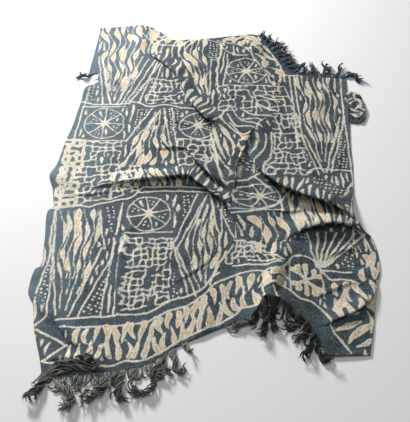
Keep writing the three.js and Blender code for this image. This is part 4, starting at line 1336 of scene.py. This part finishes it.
def cord_look():
    """Twisted cotton: dark indigo, greyer on some cords, darker at the right with painted shade, as under
    the raised hem, and bluer at the far end.
    """
    material = bpy.data.materials.new("cotton cord")
    tree, shader, place = shader_of(material)
    tone = attribute(tree, "tone")
    dyed = blend(tree, between(tree, tone, 0.0, 0.7), colour("dark cord"), colour("grey cord"))
    # Wear: paler patches on some cords
    wear_and_painted_light = between(tree, total(tree, tone, noise_of(tree, place, 0.02, 3)), 1.0, 1.5)
    dyed = blend(tree, times(tree, wear_and_painted_light, 0.6), dyed, colour("worn cord"))
    x, y, _ = parts_of(tree, place)
    # Painted shade: the cords from the middle of the near hem rightwards are darkened, as in the shade
    # under the raised hem
    right = times(tree, between(tree, x, 0.02, 0.16), 0.75)
    dyed = blend(tree, right, dyed, colour("cord in painted shade at the right"))
    far = times(tree, between(tree, y, 0.3, 0.5), 0.7)
    dyed = blend(tree, far, dyed, colour("cord at the far end"))
    past_root = times(tree, between(tree, attribute(tree, "run"), 0.03, 0.1), 0.3)
    dyed = blend(tree, past_root, dyed, colour("cord past its root"))
    tree.links.new(dyed, shader.inputs["Base Color"])
    shader.inputs["Roughness"].default_value = 0.95
    bumpy(tree, shader, times(tree, noise_of(tree, place, 0.0008, 2), 0.0006))
    return material


indigo_group()
cloth_material = cloth_look()
cord_material = cord_look()


def net_faces(index):
    """The four corners of each face of a net of points."""
    return np.stack([index[:-1, :-1], index[:-1, 1:], index[1:, 1:], index[1:, :-1]], axis=-1)


def build_sheet():
    """The sheet's columns, its points that lie open, and the rows that are turned under.

    The points are also given as places on the floor before the folds lean, where the drawing is.
    """
    across = np.array([(s + c) / STRIPS for s in range(STRIPS) for c in STRIP_COLUMNS] + [1.0])
    along = np.linspace(0, 1, ROWS + 1)
    laid = laid_places(across, along)
    rows, columns = laid.shape[:2]
    plan = laid[..., :2].reshape(-1, 2)
    height, lean = cloth_shape(plan)
    lift = np.maximum(height, laid[..., 2].ravel())
    places = np.column_stack([plan + lean, HALF + lift]).reshape(rows, columns, 3)
    fold_last = int(FLAP_LAST * STRIPS * len(STRIP_COLUMNS))
    folded = places[-1, : fold_last + 1]
    edge_line = np.diff(places[-1, : fold_last + 2, :2], axis=0)
    outward = np.stack([-edge_line[:, 1], edge_line[:, 0]], axis=1)
    outward /= np.linalg.norm(outward, axis=1)[:, None]
    turned_under = []
    for step in range(1, TURN_STEPS):
        angle = math.pi * step / TURN_STEPS
        turned = folded.copy()
        turned[:, :2] += outward * TURN_REACH * math.sin(angle)
        turned[:, 2] = HALF + (folded[:, 2] - HALF) / 2 * (1 + math.cos(angle))
        turned_under.append(turned)
    share = across[: fold_last + 1] / FLAP_SHARE
    hem = FLAP_CORNER + (FLAP_END - FLAP_CORNER) * share[:, None]
    for step in range(FLAP_ROWS + 1):
        row = folded.copy()
        row[:, :2] += (hem - folded[:, :2]) * step / FLAP_ROWS
        row[:, 2] = HALF
        turned_under.append(row)
    return across, places, plan.reshape(rows, columns, 2), turned_under


# The whole sheet, row by row, with nothing past the end of the rows that are turned under
across, places, drawn, turned_under = build_sheet()
rows, columns = places.shape[:2]
whole = np.full((rows + len(turned_under), columns, 3), np.nan)
whole[:rows] = places
for k, row in enumerate(turned_under):
    whole[rows + k, : len(row)] = row
index = np.full(whole.shape[:2], -1)
there = ~np.isnan(whole[..., 0])
index[there] = np.arange(there.sum())
points = whole[there]
quads = net_faces(index)
quad_columns = np.broadcast_to(np.arange(columns - 1), quads.shape[:2])
whole_quads = (quads >= 0).all(-1)
quads, quad_columns = quads[whole_quads], quad_columns[whole_quads]
normals = np.zeros_like(points)
corners = points[quads]
face_normals = np.cross(corners[:, 2] - corners[:, 0], corners[:, 3] - corners[:, 1])
for k in range(4):
    np.add.at(normals, quads[:, k], face_normals)
normals /= np.linalg.norm(normals, axis=1)[:, None]

# Where each point is in the drawing, which goes on past the far edge, and on the woven strips
DRAWN_PAST_EDGE = 0.3
folded_back = np.linspace(0, DRAWN_PAST_EDGE, len(turned_under))[:, None]
plan = np.full((*whole.shape[:2], 2), np.nan)
plan[:rows] = drawn
plan[rows:] = drawn[-1] + np.stack([0 * folded_back, folded_back], axis=-1)
plan = plan[there] + DRAWN_FROM
steps = np.linalg.norm(np.diff(np.nan_to_num(whole), axis=0, prepend=whole[:1]), axis=2)
widthwise = np.broadcast_to(across * STRIPS * STRIP_WIDTH, steps.shape)
lay = np.dstack([widthwise, np.cumsum(steps, axis=0)])[there]


def outline(places):
    """True where the drawn cloth is."""

    def squares(found):
        return (np.floor(found / OUTLINE_SQUARE) @ (SQUARES_IN_ROW, 1)).astype(int)

    return np.isin(squares(places), squares(plan))


def wobbled(places):
    """Places moved a little, so that what is drawn there looks drawn by hand."""
    moved = places.copy()
    for size, sway in WOBBLES:
        found = [noise.noise_vector((x / size, y / size, size))[:2] for x, y in places]
        moved += sway * np.array(found)
    return moved


def drawing_at(places):
    """What the drawing has at these places: distance to the nearest cream, and the rows of dots."""
    moved = wobbled(places)
    return {"resist": paint(moved), "dots": paint_dots(moved)}


draw_all()
fill_gaps(outline)
on_cloth = drawing_at(plan)
on_cloth["lay"] = np.column_stack([lay, np.zeros(len(lay))])

whole_normals = np.zeros_like(whole)
whole_normals[there] = normals
near_hem, near_normals = whole[0], whole_normals[0]
far_hem, far_normals = whole[ROWS], whole_normals[ROWS]
flap_hem = whole[-1][~np.isnan(whole[-1][:, 0])]
flap_normals = np.tile((0.0, 0.0, 1.0), (len(flap_hem), 1))
near_out = curve_frame(near_hem, near_normals, 1)
far_out = curve_frame(far_hem, far_normals, -1)
flap_out = curve_frame(flap_hem, flap_normals, 1)
near_left = fringe("fringe_near_left", near_hem, near_out)
near_middle = fringe("fringe_near_middle", near_hem, near_out)
near_right = fringe("fringe_near_right", near_hem, near_out)
far_right = fringe("fringe_far_right", far_hem, far_out)
far_left = fringe("fringe_far_left", flap_hem, flap_out)


def panel_of(name, middle, normals, quads, looks):
    """A piece of the sheet with its thickness, and with its open edges closed."""
    count = len(middle)
    both = np.vstack([middle + normals * HALF, middle - normals * HALF])
    both[:, 2] = np.maximum(both[:, 2], 0)
    both[:, :2] += LAID_AT
    starts, ends = quads.ravel(), np.roll(quads, -1, axis=1).ravel()
    open_edge = ~np.isin(starts * count + ends, ends * count + starts)
    starts, ends = starts[open_edge], ends[open_edge]
    rim = np.stack([starts, starts + count, ends + count, ends], axis=1)
    mesh = bpy.data.meshes.new(name)
    mesh.from_pydata(both.tolist(), [], np.vstack([quads, quads[:, ::-1] + count, rim]).tolist())
    mesh.shade_smooth()
    for look, values in looks.items():
        kind, slot = ("FLOAT", "value") if values.ndim == 1 else ("FLOAT_VECTOR", "vector")
        attribute_data = mesh.attributes.new(look, kind, "POINT").data
        attribute_data.foreach_set(slot, np.concatenate([values, values]).ravel())
    mesh.materials.append(cloth_material)
    panel = bpy.data.objects.new(name, mesh)
    scene.collection.objects.link(panel)
    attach(panel, "root")
    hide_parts("cloth")
    return panel


for number, (first, last) in enumerate(zip(PANEL_STRIPS, PANEL_STRIPS[1:]), 1):
    lowest, highest = first * len(STRIP_COLUMNS), last * len(STRIP_COLUMNS)
    mine = quads[(quad_columns >= lowest) & (quad_columns < highest)]
    used, local = np.unique(mine, return_inverse=True)
    looks = {look: values[used] for look, values in on_cloth.items()}
    faces = local.reshape(mine.shape)
    panel = panel_of(f"cloth_panel_{number}", points[used], normals[used], faces, looks)

# The lower layer's part that peeks out at the right
from_edge = np.linspace(0, 1, TAB_ACROSS)
tab_rows = np.array([at_share(curve_through(row), from_edge) for row in TAB_ROWS])
tab_columns = [curve_through(tab_rows[:, k]) for k in range(TAB_ACROSS)]
tab_plan = np.stack([at_share(column, np.linspace(0, 1, TAB_ALONG)) for column in tab_columns], axis=1)
tab_height = np.zeros(tab_plan.shape[:2])
for (i, j), _ in np.ndenumerate(tab_height):
    x, y = tab_plan[i, j]
    rise = sum(share * noise.noise((x / wide, y / long, seed)) for wide, long, seed, share in TAB_CRUMPLES)
    tab_height[i, j] = max(0.006 + 0.007 * rise, 0) * smooth(0, 0.35, from_edge[j])
tab_middle = np.dstack([tab_plan, HALF + tab_height])
tab_normals = unit(np.cross(np.gradient(tab_middle, axis=1), np.gradient(tab_middle, axis=0)))
tab_index = np.arange(TAB_ALONG * TAB_ACROSS).reshape(TAB_ALONG, TAB_ACROSS)
tab_plan = tab_plan.reshape(-1, 2)
tab_points = tab_middle.reshape(-1, 3)
tab_normals = tab_normals.reshape(-1, 3)
tab_looks = drawing_at(tab_plan + DRAWN_FROM)
tab_looks["lay"] = np.column_stack([tab_plan, np.zeros(len(tab_plan))])
tab = panel_of("lower_layer", tab_points, tab_normals, net_faces(tab_index).reshape(-1, 4), tab_looks)
